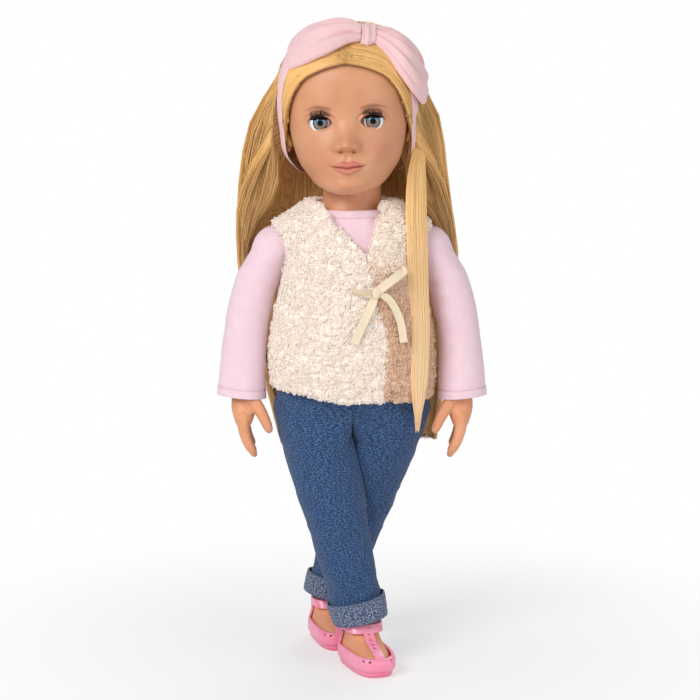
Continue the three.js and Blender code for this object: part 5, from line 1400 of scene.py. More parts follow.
def fall_point(across, depth, z):
    """A place in the curtain: across from -1 to 1 round the back, depth from 0 outside to 1 inside."""
    outer, back, inner, inner_back, end = row_values(fall_rows, z)
    angle = across * math.pi / 2
    half = outer * (1 - depth) + inner * depth
    reach = back * (1 - depth) + inner_back * depth
    return joined(half * np.sin(angle), end + (reach - end) * np.cos(angle) ** 0.8, z + 0 * half)


def hang(z):
    """How far the whole curtain hangs to the doll's right at each height, because the head leans."""
    rows = [(147, 3.1), (210, 4.3), (277, 5.4), (329, 6.9), (370, 4.8), (392, 3.4), (411, 1.8), (434, 0.4)]
    return row_value(rows, z, 1)


def long_hair(name, side):
    """Fibres that start under the band, pass over the crown and hang down the back."""
    rng = np.random.default_rng(200 + side)
    count = 3700
    across = rng.uniform(0, 1, count) ** 0.8
    depth = rng.uniform(0, 0.35, count)
    # Many fibres show at the front edge of the curtain, which is as thick as the curtain is deep
    front_count = 1100
    across[:front_count] = rng.uniform(0.93, 1, front_count)
    depth[:front_count] = rng.uniform(0, 1, front_count)
    tuft = np.round(across * 46 + depth * 9 + rng.normal(0, 0.25, count)) / 46
    length = rng.normal(0, 4.0, count) + 2.5 * np.sin(tuft * 37)
    heights = np.array([434, 423, 408, 390, 370, 348, 322, 290, 254, 214, 178, FALL_END])
    crown = 6
    path = np.empty((count, len(heights) + crown, 3))
    starting = np.clip(across**1.15, 0, 1) * 0.8
    starting[:front_count] = 0.3 + 0.6 * depth[:front_count]
    starts = through(band_path, starting)
    path[:, 0] = onto_cap(starts * [side, 1, 1] + [0, 4, 0], 0.3 + 0.6 * (1 - depth))
    for k, z in enumerate(heights):
        low_part = ease(330 - z, 0, 180)
        own_top = np.minimum(heights[0], starts[:, 2] - 3)
        own_z = FALL_END + (z - FALL_END) / (heights[0] - FALL_END) * (own_top - FALL_END)
        own_z = own_z + length * low_part
        gathered = across + (np.clip(tuft, 0, 1) - across) * 0.25 * low_part
        swing = 0.012 * np.sin(z / 23 + tuft * 40) * low_part
        at = fall_point(np.clip(gathered + swing, 0, 1), depth, np.maximum(own_z, FALL_END - 0.8))
        at[:, 2] = np.maximum(own_z, FALL_END - 1.8 + rng.uniform(0, 3, count))
        leave = ease(starts[:, 2] - own_z, -2, 40)[:, None]
        at[:, :2] = starts[:, :2] * (1 - leave) + at[:, :2] * leave
        at[:, 0] = at[:, 0] * side - hang(own_z)
        path[:, k + crown] = at
    # Over the crown each fibre bends from the band to the fall across the combed surface
    for k in range(1, crown):
        path[:, k] = path[:, 0] + (path[:, crown] - path[:, 0]) * k / crown
    path[:, crown + 1:-1] = (path[:, crown:-2] + 2 * path[:, crown + 1:-1] + path[:, crown + 2:]) / 4
    for k in range(1, crown + 4):
        snug = onto_cap(path[:, k], 0.5 + 1.6 * (1 - depth) * rng.uniform(0.3, 1, count))
        short = np.linalg.norm(path[:, k] - HEAD_MIDDLE, axis=1) < np.linalg.norm(snug - HEAD_MIDDLE, axis=1)
        path[short, k] = snug[short]
    jitter = rng.normal(0, 0.35, (count, 1, 3)) * np.linspace(0.3, 1, path.shape[1])[None, :, None]
    path += jitter
    steps = path.shape[1]
    tone = 0.5 + 0.26 * rng.uniform(0, 1, count) + 0.2 * np.sin(across * 34 + depth * 5)
    # Painted shade: inner fibres, the roots under the band and the inside of the front edge are darker.
    tone -= 0.3 * (depth > 0.18) * (across < 0.93)
    tone = tone[:, None] - 0.28 * bell(np.arange(steps), 0, 1.2)
    inner = ease(depth, 0.55, 0.95)[:, None] * (across[:, None] > 0.93)
    tone = tone - 0.35 * inner
    radii = np.linspace(1, 0.8, steps) * rng.uniform(0.32, 0.46, count)[:, None]
    radii[:, 0] *= 0.4
    radii[:, -1] *= 0.25
    return hairs(
        f"long_hair_{name}", tilted(path), radii, hair_finish, "head",
        slot="hair", node="hair_back", tone=np.clip(tone, 0, 1),
    )


hair_base = copy_of("hair_cap", "hair_cap_base", under_hair_shade, 0.0014, 4, grow=-0.0028)
stand_in(hair_base, "head", "hair_cap")
fall_base = copy_of("hair_back", "hair_back_base", under_hair_shade, 0.0022, 6, grow=-0.002)
fall_places = places_of(fall_base)
narrower = 1 - 0.27 * ease(fall_places[:, 2], 345, 390)
fall_places[:, :2] = [0, 4] + (fall_places[:, :2] - [0, 4]) * narrower[:, None]
fall_places[:, 0] -= hang(fall_places[:, 2])
set_vertices(fall_base, to_metres(fall_places))
stand_in(fall_base, "head", "hair_back")
for name, side in SIDES.items():
    combed_front(name, side)
    long_hair(name, side)

# %% [markdown]
# One lock has come forward over the vest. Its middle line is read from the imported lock, and the fibres fan
# a little at the bottom, where they were cut blunt.

# %% Loose lock


def loose_lock():
    lock_points = places_of(bpy.data.objects["hair_front_lock"])
    low, high = lock_points[:, 2].min(), lock_points[:, 2].max()
    heights = np.linspace(high - 1, low + 1, 15)
    centre = np.array([lock_points[np.abs(lock_points[:, 2] - z) < 12].mean(axis=0) for z in heights])
    centre[:, 2] = heights
    settled(centre)
    centre[:, 0] -= 3.4 * ease(heights, 260, 330)
    top = np.array([[47, 3, 386.0], [48, -1, 374.0]])
    centre = np.concatenate([top, centre[1:]])
    steps = 22
    middle = through(centre, np.linspace(0, 1, steps))
    rng = np.random.default_rng(77)
    count = 520
    share = np.linspace(0, 1, steps)
    angle = rng.uniform(0, 2 * math.pi, count)
    radius = np.sqrt(rng.uniform(0, 1, count))
    wide = 3.5 + 4.6 * ease(share, 0, 0.25) - 1.3 * ease(share, 0.45, 0.75)
    wide -= 1.6 * ease(share, 0.9, 1)
    thick = 1.4 + 1.1 * ease(share, 0, 0.3)
    across = np.array([0.9, 0.436, 0])
    out = np.array([0.436, -0.9, 0])
    twist = 0.5 * np.sin(share * 5)
    a = (radius * np.cos(angle))[:, None] * wide + twist
    b = (radius * np.sin(angle))[:, None] * thick
    ends = 1 - 0.17 * rng.beta(1.2, 1.5, count)
    at = share * ends[:, None]
    middle_at = np.stack([np.interp(at, share, middle[:, k]) for k in range(3)], axis=-1)
    taper = 1 - 0.72 * ease(at, 0.8, 1.0)
    path = middle_at + (a * taper)[..., None] * across + (b * taper)[..., None] * out
    path += rng.normal(0, 0.3, (count, 1, 3)) * share[None, :, None]
    # Painted shade: the top of the lock, the fibres at its back and a line down its split are darker.
    tone = 0.42 + 0.6 * rng.uniform(0, 1, count)[:, None] - 0.4 * bell(share, 0, 0.12) - 0.25 * (b < -0.9)
    tone = tone - 0.55 * bell(np.cos(angle) * radius, -0.25, 0.13)[:, None]
    radii = 0.36 * np.minimum(1, (1.02 - share) * 9) * np.minimum(1, 0.4 + share * 8)
    return hairs(
        "loose_lock", path, radii * np.ones((count, 1)), pale_hair_finish, "head",
        slot="hair", node="hair_front_lock", tone=np.clip(tone, 0, 1),
    )


loose_lock()
print("hair done")

# %% [markdown]
# The vest is pile cloth: a knitted back with dense curly wool standing on it. Each panel starts as the
# packed panel, remeshed finely. Its outer face swells into clumps round scattered points, and short curls
# of yarn are laid over the clumps, so the edges turn fluffy by themselves.

# %% Pile vest


def scattered(made, count, seed, keep=None):
    """Random places on a mesh, by area, with their outward directions, in millimetres."""
    rng = np.random.default_rng(seed)
    mesh = made.data
    mesh.calc_loop_triangles()
    triangles = np.empty(len(mesh.loop_triangles) * 3, dtype=np.int32)
    mesh.loop_triangles.foreach_get("vertices", triangles)
    triangles = triangles.reshape(-1, 3)
    points = places_of(made)
    a, b, c = (points[triangles[:, k]] for k in range(3))
    cross = np.cross(b - a, c - a)
    area = np.linalg.norm(cross, axis=1)
    normal = cross / np.maximum(area, 1e-9)[:, None]
    if keep is not None:
        area = area * keep((a + b + c) / 3, normal)
    picked = rng.choice(len(triangles), count, p=area / area.sum())
    r1, r2 = np.sqrt(rng.uniform(0, 1, count)), rng.uniform(0, 1, count)
    weights = [w[:, None] for w in (1 - r1, r1 * (1 - r2), r1 * r2)]
    places = weights[0] * a[picked] + weights[1] * b[picked] + weights[2] * c[picked]
    return places, normal[picked]


def outer_side(points, normals):
    """True where a face looks away from the middle of the chest, or along a free edge."""
    outward = joined(points[:, 0], points[:, 1] * 1.2, np.maximum(points[:, 2] - 300, 0) * 1.5)
    outward = unit(outward, 1e-9)
    return ((outward * normals).sum(axis=1) > -0.25).astype(float)


def pile_panel(node, seed, clumps, finish):
    made = copy_of(node, f"{node}_pile", finish, 0.00105, 5)
    seeds, _ = scattered(made, clumps, seed, outer_side)
    tree = KDTree(len(seeds))
    for i, place in enumerate(seeds):
        tree.insert(Vector(place), i)
    tree.balance()
    points = places_of(made)
    normals = normals_of(made)
    open_side = outer_side(points, normals)
    near = np.empty(len(points))
    second = np.empty(len(points))
    for i, place in enumerate(points):
        found = tree.find_n(Vector(place), 2)
        near[i], second[i] = found[0][2], found[1][2]
    gap = np.clip((second - near) / 4.2, 0, 1)
    dome = np.sqrt(gap * (2 - gap))
    curl = soft_noise(points, 1.3, seed) * 0.28
    height = (2.7 * dome - 1.5 + 1.6 * curl) * open_side
    points += normals * height[:, None]
    points[:, 2] += 8 * ease(-points[:, 0], 0, 58) * ease(250 - points[:, 2], 0, 62)
    set_vertices(made, to_metres(points))
    # The crest picks the pile colour, so the hollows between clumps get painted shade.
    keep_mask(made, "crest", 0.3 + 0.6 * dome * open_side)
    stand_in(made, "torso", node)
    return made


def curls(made, name, node, count, seed, finish):
    """Short bent yarns that lie over the clumps."""
    rng = np.random.default_rng(seed)
    places, normals = scattered(made, count, seed, outer_side)
    steps = 7
    helper = rng.normal(0, 1, (count, 3))
    first = np.cross(normals, helper)
    first = unit(first)
    second = np.cross(normals, first)
    turn = np.linspace(0, 1, steps) * rng.uniform(2.4, 4.6, count)[:, None]
    reach = rng.uniform(0.6, 1.35, count)[:, None] * (1 - 0.25 * np.linspace(0, 1, steps))
    arc = np.sin(np.linspace(0.1, 1, steps) * math.pi)
    rise = 0.15 + 0.75 * arc * rng.uniform(0.4, 2.1, count)[:, None]
    path = (
        places[:, None]
        + first[:, None] * (reach * np.cos(turn))[..., None]
        + second[:, None] * (reach * np.sin(turn))[..., None]
        + normals[:, None] * rise[..., None]
    )
    radii = rng.uniform(0.3, 0.5, count)[:, None] * (0.55 + 0.45 * arc)
    tone = 0.5 + 0.5 * rng.uniform(0, 1, count)[:, None]
    hairs(name, path, radii, finish, "torso", slot="pile", node=node, sides=4, tone=tone)


for node, seed, clumps, count, finish in (
    ("vest_back", 11, 520, 6800, pile_over), ("vest_front_left", 12, 240, 5000, pile_under_shaded),
    ("vest_front_right", 13, 350, 7600, pile_over),
):
    panel = pile_panel(node, seed, clumps, finish)
    curls(panel, f"{node}_curls", node, count, seed + 40, finish)
    print(node, len(panel.data.polygons), "faces")

# %% [markdown]
# The shirt is thin knit jersey. Each sleeve is a tube of rings with slack folds at the elbow, a soft drag
# from the shoulder and a stitched hem.

# %% Shirt sleeves
sleeve_rows = [
    (-16, 0, 0, 5.7, 5.7), (-12, 0, 0, 12, 12), (-6, 0.5, 0, 15.9, 15.9), (0, 1.5, 0, 17, 17),
    (8, 6, 0, 16.8, 16.8), (18, 12, 0, 16.5, 15.5), (35, 18, 0, 15.6, 14.6), (58, 22.5, -1, 15.4, 14.2),
    (85, 25, -4, 16.4, 14.6), (107, 25.6, -7, 17.6, 15.2),
]
SHOULDER_X, SHOULDER_Z = 54, 298


def sleeve(name):
    side = SIDES[name]
    rows, columns = 190, 150
    share = np.linspace(0, 1, rows)
    down = (-15.6 + 122.6 * share**0.9)[:, None] * np.ones(columns)
    turn = turns(rows, columns)
    cx, cy, half, deep = row_values(sleeve_rows, down)
    seed = 5 if side > 0 else 8
    field = joined(turn * 6 + 0.06 * down, down * 0.8 + 5 * np.sin(turn + seed), 0)
    ridges = 1 - 2 * np.abs(soft_noise(field, 9, seed))
    slack = soft_noise(joined(turn * 10, down * 0.35, 0 * down + seed), 12, seed + 2)
    elbow = bell(down, 42, 16)
    low = bell(down, 84, 18)
    under = 0.5 + 0.5 * ease(-np.cos(turn), -0.2, 0.9)
    folds = ridges * (0.15 + 0.75 * elbow * under + 0.35 * low * under) + slack * (0.35 + 0.5 * low)
    folds = folds * ease(down, 2, 20) - 0.2
    hem = bell(down, 100.6, 0.45) * -0.35 + 0.32 * ease(down, 100.6, 102)
    hem += 0.25 * np.sin(turn * 3 + 1) * ease(down, 92, 107)
    grow = folds + hem
    z = SHOULDER_Z - down + 1.6 * np.cos(turn) * ease(down, 80, 107)
    x = SHOULDER_X + cx + np.cos(turn) * (half + grow)
    y = cy + np.sin(turn) * (deep + grow)
    points = joined(side * x, y, z)
    faces = grid_faces(rows, columns)[:, ::-side]
    made = piece(
        f"sleeve_cloth_{name}", points, faces, jersey, body=f"arm_{name}", slot="jersey",
        node=f"sleeve_{name}", flat=joined(turn * 16, down),
    )
    keep_mask(made, "crest", ease(folds, 0.2, 0.9) * 0.6)
    thickened(made, 0.0008)
    stitches(f"sleeve_stitches_{name}", points[int(rows * 0.945)], f"arm_{name}", 1.5, jersey_thread)
    return made


jersey_thread = grained("pink_thread", "eab9cc", 0.6, ("eab9cc", "d99fb6"), 2500.0, bump=(0.0001, 0.6))


def stitches(name, ring, body, length, finish, lift=0.12, slot="jersey"):
    """A row of short stitches along a closed ring of points, each a small raised bar of thread."""
    ring = np.asarray(ring, dtype=float)
    closed = np.concatenate([ring, ring[:1]])
    reach = reach_along(closed)
    count = int(reach[-1] / length)
    centre = ring.mean(axis=0)
    starts = np.arange(count) * reach[-1] / count
    steps = 5
    share = np.linspace(0, 0.72, steps)
    at = starts[:, None] + share * reach[-1] / count
    path = np.stack([np.interp(at, reach, closed[:, k]) for k in range(3)], axis=-1)
    outward = path - centre
    outward[..., 2] = 0
    outward = unit(outward, 1e-9)
    path += outward * (lift + 0.12 * np.sin(np.linspace(0, 1, steps) * math.pi))[None, :, None]
    return hairs(name, path, 0.17 * np.ones((count, steps)), finish, body, slot=slot, sides=4)


for name in SIDES:
    sleeve(name)

# %% [markdown]
# The shirt's body shows only at the neck, with a turned edge and one row of stitches. The torso under it is
# muslin over stuffing, with a middle seam and small tucks.

# %% Shirt body and torso
shirt_piece = copy_of("shirt_body", "shirt_body_cloth", jersey, 0.0008, 6)
shirt_points = places_of(shirt_piece)
keep_flat(shirt_piece.data, joined(shirt_points[:, 0] * 1.1, shirt_points[:, 2]))
shirt_wave = soft_noise(shirt_points * [1, 0.3, 0.7], 9, 61) * 0.35
edge_roll = 0.45 * bell(shirt_points[:, 2], 324.6, 0.9) - 0.2 * bell(shirt_points[:, 2], 322.4, 0.5)
shirt_lift = normals_of(shirt_piece) * ((shirt_wave + edge_roll) * 0.001)[:, None]
set_vertices(shirt_piece, vertices_of(shirt_piece) + shirt_lift)
stand_in(shirt_piece, "torso", "shirt_body")

torso_piece = copy_of("torso", "torso_stuffed", muslin, 0.0015, 5)
torso_points = places_of(torso_piece)
seam = np.minimum(np.abs(torso_points[:, 0]), 40)
tucks = soft_noise(torso_points, 7, 71) * 0.3 - 0.5 * bell(seam, 0, 0.7) - 0.25
set_vertices(torso_piece, vertices_of(torso_piece) + normals_of(torso_piece) * (tucks * 0.001)[:, None])
stand_in(torso_piece, "torso", "torso")
# The neck edge is held down by one row of stitches, which follows the widest line of the cloth at its height
collar_points = places_of(shirt_piece)
collar_points = collar_points[np.abs(collar_points[:, 2] - 321.4) < 0.6]
collar_turn = np.arctan2(collar_points[:, 1], collar_points[:, 0])
collar_ring = []
for angle in np.linspace(-math.pi, math.pi, 90, endpoint=False):
    near_angle = collar_points[np.abs(collar_turn - angle - 0.035) < 0.05]
    if len(near_angle):
        collar_ring.append(near_angle[np.argmax(np.hypot(near_angle[:, 0], near_angle[:, 1]))])
stitches("collar_stitches", collar_ring, "torso", 1.7, jersey_thread)
print("shirt and torso done")

# %% [markdown]
# The headband is a strip of the same soft knit as the bow. It runs over the crown, in front of the long
# hair and down behind the ears, where the hair hides it.

# %% Headband
worn_path = band_path + [(37, 28, 356), (29, 42, 354), (16, 50, 353), (0, 52, 352)]


def headband():
    half_path = np.array(worn_path, dtype=float)
    loop = np.concatenate([half_path, (half_path * [-1, 1, 1])[::-1][1:]])
    steps, sides = 420, 26
    middle = through(loop, np.linspace(0, 1, steps + 1))[:-1]
    over_cap = onto_cap(middle, 0.9)
    on_front = ease(middle[:, 2], 366, 384)[:, None]
    middle = middle * (1 - on_front) + over_cap * on_front
    for _ in range(6):
        middle = (np.roll(middle, 1, axis=0) + 2 * middle + np.roll(middle, -1, axis=0)) / 4
    ahead = unit(np.roll(middle, -1, axis=0) - np.roll(middle, 1, axis=0))
    outward = middle - np.array([0, 4, 396])
    outward -= (outward * ahead).sum(axis=1, keepdims=True) * ahead
    outward = unit(outward)
    across = np.cross(ahead, outward)
    turn = turns(1, sides)[0]
    wide = rounded(np.cos(turn), 0.6)
    length = np.arange(steps) * 320 / steps
    ripple = soft_noise(joined(length, 0, 0), 11, 81) * 0.5
    half = (6.6 + ripple)[:, None] * wide
    pull_field = joined(length[:, None] * 0.35 + 0 * half, half * 1.6, 0)
    pull = soft_noise(pull_field, 5, 82) * 0.35
    lift = 0.75 + (0.8 + pull) * np.sin(turn) + 0.25 * np.cos(wide * 3.0)
    points = middle[:, None] + across[:, None] * half[..., None] + outward[:, None] * lift[..., None]
    # The last ring joins the first one
    faces = grid_faces(steps + 1, sides) % (steps * sides)
    flat = joined(half, length[:, None] * np.ones(sides))
    return piece(
        "headband_strip", tilted(points), faces, band_cloth, body="head", slot="headband_cloth",
        node="headband", flat=flat,
    )


headband()


# %% [markdown]
# The bow is a flat pouch on each side, gathered by a wrapped knot, so its folds all run out from the knot
# and fade toward the ends.

# %% Bow


HAIR_HALF, HAIR_DEEP, HAIR_UP = 51, 50, 60
HAIR_Y, HAIR_Z = 4, 400


def on_hair(x, z, lift):
    """A place on the front of the combed hair, by its x and z and its height over the hair."""
    across, up = x / HAIR_HALF, (z - HAIR_Z) / HAIR_UP
    rest = np.sqrt(np.maximum(1 - across**2 - up**2, 0.0004))
    at = joined(x, HAIR_Y - HAIR_DEEP * rest, z)
    normal = unit(joined(across / HAIR_HALF, -rest / HAIR_DEEP, up / HAIR_UP))
    return at + normal * np.asarray(lift)[..., None]


def bow_loop(name, rows, folds):
    """One side of the bow. Rows hold x, low edge, high edge and half thickness. A fold holds where it leaves
    the knot and ends between the edges (-1 low, 1 high), its width, how far it reaches and its height."""
    steps, sides = 120, 150
    near, far = (rows[-1][0], rows[0][0]) if name == "right" else (rows[0][0], rows[-1][0])
    share = steps_up(0, 1, steps, sides)
    turn = turns(steps, sides)
    x = near + (far - near) * share
    low, high, thick = row_values(rows, x)
    close = np.sqrt(np.clip(1 - ((share - 0.95) / 0.05) ** 2, 0.02, 1)) * (share > 0.95) + (share <= 0.95)
    across = rounded(np.cos(turn), 0.8)
    front = ease(np.sin(turn), -0.1, 0.5)
    relief = 0
    for start, end, width, reach, height in folds:
        line = start + (end - start) * share
        fade = ease(reach - share, 0, 0.22) * (0.55 + 0.45 * ease(share, 0, 0.12))
        relief = relief + height * bell(across, line, width * (0.55 + 0.6 * share)) * fade
    slack = soft_noise(joined(x * 0.8, across * 9, 0), 10, 91)
    slack = slack * 0.55 * ease(share, 0.1, 0.5)
    edge_wave = 0.5 * np.sin(share * 9 + 1) * ease(share, 0.1, 0.5)
    z = (low + high) / 2 + (high - low) / 2 * across * close + edge_wave * np.abs(across)
    lift = 2.4 + thick * close + thick * close * np.sin(turn) + (relief + slack) * front * close
    faces = capped_faces(steps, sides)
    if name == "left":
        faces = [f[::-1] for f in faces]
    made = piece(
        f"bow_pouch_{name}", tilted(on_hair(x, z, lift)), faces, band_cloth, body="head",
        slot="headband_cloth", node=f"bow_loop_{name}", flat=joined(across * 13, x),
    )
    keep_mask(made, "crest", 0.5 + 0.3 * relief)
    return made


right_rows = [
    (-37, 429, 435, 1.0), (-34.5, 425, 441.5, 2.8), (-26, 426.5, 447.5, 4.6), (-15, 431.5, 452, 5.4),
    (-3, 437, 454, 5), (5, 440.5, 453.5, 4), (10.6, 441.5, 450.5, 3.2),
]
left_rows = [
    (19.2, 440, 449.5, 3.2), (26, 432, 448, 4), (34, 419, 443, 5), (42.5, 405.5, 435, 4.4),
    (48.5, 399, 427, 3.2), (51.2, 399.5, 417, 1.0),
]
bow_loop("right", right_rows, [
    (-0.35, -0.1, 0.17, 0.55, -3.4), (-0.7, -0.55, 0.2, 0.75, 1.1), (0.15, 0.35, 0.2, 0.7, 1.3),
    (0.4, 0.62, 0.1, 0.5, -1.5), (0.7, 0.85, 0.14, 0.6, 0.9),
])
bow_loop("left", left_rows, [
    (0.45, 0.62, 0.16, 1.3, -3.2), (0.1, 0.3, 0.18, 1.2, 1.5), (-0.15, -0.1, 0.13, 0.6, -2.0),
    (-0.45, -0.4, 0.2, 1.1, 1.2), (-0.75, -0.72, 0.1, 0.8, -1.0), (0.85, 0.9, 0.12, 1.3, 0.8),
])


def bow_knot():
    """A short strip wrapped round the gathers, with upright pleats in it."""
    rows, sides = 54, 110
    share = steps_up(0, 1, rows, sides)
    turn = turns(rows, sides)
    swell = np.sin(math.pi * (0.2 + 0.6 * share)) ** 0.5
    pleat = 0.75 * np.cos(share * 2 * math.pi * 2 + 0.4 + 0.5 * np.cos(turn)) - 0.9 * bell(share, 0.55, 0.06)
    x = 15 + (share - 0.5) * (7.8 + 1.0 * np.abs(np.cos(turn)))
    z = 444.8 + (6.4 * swell + 0.3 * pleat) * np.cos(turn)
    lift = 5.9 + (4.0 * swell + 0.7 * pleat) * np.sin(turn)
    faces = capped_faces(rows, sides)
    return piece(
        "bow_wrap", tilted(on_hair(x, z, lift)), [f[::-1] for f in faces], band_cloth, body="head",
        slot="headband_cloth", node="bow_knot", flat=joined(turn * 7, share * 11),
    )


bow_knot()
print("headband and bow done")

# %% [markdown]
# The tie is a narrow ribbed satin ribbon. It is flat and springy, so each strip is one band that keeps its
# width while it lifts over the pile and turns. Two loops and two cut tails meet in a small crossed knot.

# %% Ribbon tie
vest_front_rows = [
    (192, 57.5, -42.5), (202, 59.5, -44), (222, 59, -44.2), (246, 56.5, -43), (268, 51.5, -42),
    (284, 48.5, -41), (298, 50, -39), (309, 54.5, -36),
]
KNOT_X, KNOT_Z = 17, 270.5


def on_vest(x, z, lift):
    half, front = row_values(vest_front_rows, z)
    bend = (1 - np.minimum(np.abs(x) / half, 0.97) ** 2.35) ** (1 / 2.35)
    return joined(x, front * bend - lift, z)


def ribbon_strip(name, places, lifts, half, lean):
    """A flat band through places given from the knot. Lean turns its face, in degrees, along the way."""
    steps, columns = 60, 9
    share = np.linspace(0, 1, steps)
    line = through(np.array([(KNOT_X + x, KNOT_Z + z, lift) for (x, z), lift in zip(places, lifts)]), share)
    settled(line, 8)
    middle = on_vest(line[:, 0], line[:, 1], line[:, 2])
    ahead = unit(np.gradient(middle, axis=0))
    out = np.array([0.0, -1, 0]) * np.ones((steps, 1))
    side = unit(np.cross(ahead, out))
    out = np.cross(side, ahead)
    angle = np.radians(np.interp(share, np.linspace(0, 1, len(lean)), lean))[:, None]
    side = side * np.cos(angle) + out * np.sin(angle)
    out = np.cross(side, ahead)
    across = np.linspace(-1, 1, columns)
    gather = (0.45 + 0.55 * ease(share, 0, 0.16))[:, None]
    curve = 0.35 * across ** 2 + 0.9 * (1 - gather) * np.cos(across * 5)
    points = middle[:, None] + side[:, None] * (across * half * gather)[..., None]
    points += out[:, None] * curve[..., None]
    reach = reach_along(middle)
    flat = joined(across * half, reach[:, None])
    made = piece(
        f"ribbon_{name}", points, grid_faces(steps, columns, closed=False), ribbon_finish,
        body="torso", slot="ribbon", node="vest_ribbon", flat=flat,
    )
    thickened(made, 0.00035, 0)
    return points


# Each strip: its places from the knot, its lifts over the pile, its half width and the turns of its face
strips = {
    "loop_right_side": (
        [(0, 0), (4, 3.5), (13, 10), (19, 14.5), (17.5, 15)],
        [3.6, 5.2, 6.4, 5.4, 3.4], 3.2, [0, 10, 12, 8, 0],
    ),
    "loop_right_back": ([(0, 0), (6, 4), (14, 10), (18.3, 14.6)], [3, 3, 3, 3.4], 2.5, [0, 0, 0]),
    "loop_left_side": (
        [(0, -0.5), (-5, -2), (-11, 0.6), (-16.5, 1.8), (-15.8, 1.0)],
        [3.4, 4.8, 5.6, 4.6, 3.2], 2.2, [0, 38, 58, 40, 10],
    ),
    "loop_left_back": ([(0, -0.5), (-6, -1.5), (-12, 0), (-16.4, 1.4)], [3, 3, 3, 3.2], 2.0, [0, 0, 0]),
    "tail_left": (
        [(0, -1), (-3, -8), (-8, -19), (-12.5, -29), (-15.5, -36)],
        [3.8, 3.4, 3.6, 3.2, 3.4], 3.1, [8, -14, -6, 4, 0],
    ),
    "tail_right": (
        [(1, 0), (8, -4), (14, -13), (18, -25), (19.5, -36)],
        [4.0, 4.6, 4.2, 3.8, 3.4], 2.8, [0, 22, 14, 4, 0],
    ),
}
for name, shape in strips.items():
    ribbon_strip(name, *shape)


def ribbon_knot():
    """Two turns of ribbon pulled tight over each other."""
    rows, sides = 40, 60
    share = steps_up(0, 1, rows, sides)
    turn = turns(rows, sides)
    swell = np.sin(math.pi * (0.12 + 0.76 * share)) ** 0.6
    crease = 0.22 * np.cos(share * 14 + 1.5 * np.cos(turn))
    across = (share - 0.5) * 5.4
    upright = (4.4 * swell + crease) * np.cos(turn)
    lean = math.radians(4)
    x = KNOT_X + across * math.cos(lean) - upright * math.sin(lean)
    z = KNOT_Z - 0.2 + across * math.sin(lean) + upright * math.cos(lean)
    points = on_vest(x, z, 4.4 + (1.5 * swell + crease) * np.sin(turn))
    faces = capped_faces(rows, sides)
    return piece(
        "ribbon_knot", points, [f[::-1] for f in faces], ribbon_finish, body="torso", slot="ribbon",
        node="vest_ribbon", flat=joined(across, turn * 2.4),
    )


ribbon_knot()
print("ribbon tie done")

# %% [markdown]
# Arms are hollow vinyl with the hand cast in one with them. A hand is easiest to model as a bundle of
# tapered tubes, one for each finger, pushed into a palm. Remeshing them together melts the joins into soft
# webs, the way the wax for the mould was smoothed. The nails are a small painted dip on each finger end.

# %% Arms and hands
arm_rows = [
    (-12.3, 0, 0, 3.4, 3.4), (-10.5, 0, 0, 6.8, 6.8), (-6, 0, 0, 11, 11), (0, 1, 0, 12.4, 12.4),
    (12, 7, 0, 10.9, 10.9), (30, 15, 0.5, 10.4, 10.4), (55, 21, 0, 9.8, 10), (80, 23.3, -4, 9.2, 9),
    (98, 23.6, -7, 8.4, 7.6), (106, 23.4, -8.4, 9.4, 7.8), (113, 23.2, -9.5, 10.2, 8.4),
    (120, 24.3, -10.4, 8.0, 9.8), (127, 24.4, -10.4, 5.6, 9.6), (130, 24, -10.4, 3.2, 7),
]
# Each digit: x, y, distance below the shoulder and radius
finger_rows = [
    [
        (24.6, -16.6, 118, 4.2), (24.4, -17.6, 127, 4.3), (22.8, -18.0, 135, 3.9), (20.4, -18.0, 141, 3.4),
        (17.6, -17.5, 146, 2.8), (16.2, -17.3, 148.5, 1.6),
    ],
    [
        (24.8, -12.2, 118, 4.2), (24.6, -12.8, 128, 4.2), (22.8, -13.0, 137, 3.8), (20.2, -12.9, 143.5, 3.3),
        (17.2, -12.4, 148.5, 2.7), (15.8, -12.2, 151, 1.5),
    ],
    [
        (24.6, -7.4, 118, 4.0), (24.4, -7.6, 127, 4.0), (22.8, -7.8, 136, 3.6), (20.3, -7.8, 142, 3.1),
        (17.6, -7.4, 147, 2.6), (16.4, -7.2, 149.3, 1.4),
    ],
    [
        (24.2, -3.2, 117, 3.5), (23.8, -3.0, 125, 3.5), (22.3, -3.2, 132.5, 3.1), (20.3, -3.2, 138, 2.7),
        (18.2, -3.0, 142, 2.2), (17.2, -2.9, 144, 1.2),
    ],
]
thumb_rows = [
    (20, -12.6, 107, 5.4), (14.4, -15.4, 113.5, 4.8), (10, -17.6, 120.5, 4.1), (7, -18.6, 127, 3.6),
    (5.6, -18.8, 130.5, 2.8), (5.0, -18.8, 132.3, 1.4),
]


def tube(rows, sides=28, steps=60):
    """Points and faces of a closed round tube along rows of x, y, z and radius."""
    line = through(np.array(rows, dtype=float), np.linspace(0, 1, steps))
    ahead = unit(np.gradient(line[:, :3], axis=0))
    side = unit(np.cross(ahead, [0.0, 1, 0.2]))
    other = np.cross(ahead, side)
    turn = turns(1, sides)[0]
    ring = side[:, None] * np.cos(turn)[None, :, None] + other[:, None] * np.sin(turn)[None, :, None]
    points = line[:, None, :3] + ring * line[:, None, 3:4]
    return points.reshape(-1, 3), capped_faces(steps, sides)


def melted(name, parts, finish, voxel, rounds):
    """Several closed parts joined in one smooth skin."""
    points, faces = [], []
    for own_points, own_faces in parts:
        start = sum(len(p) for p in points)
        points.append(own_points)
        faces += [tuple(start + i for i in f) for f in own_faces]
    return melt(piece(name, np.concatenate(points), faces, finish), voxel, rounds, finish)


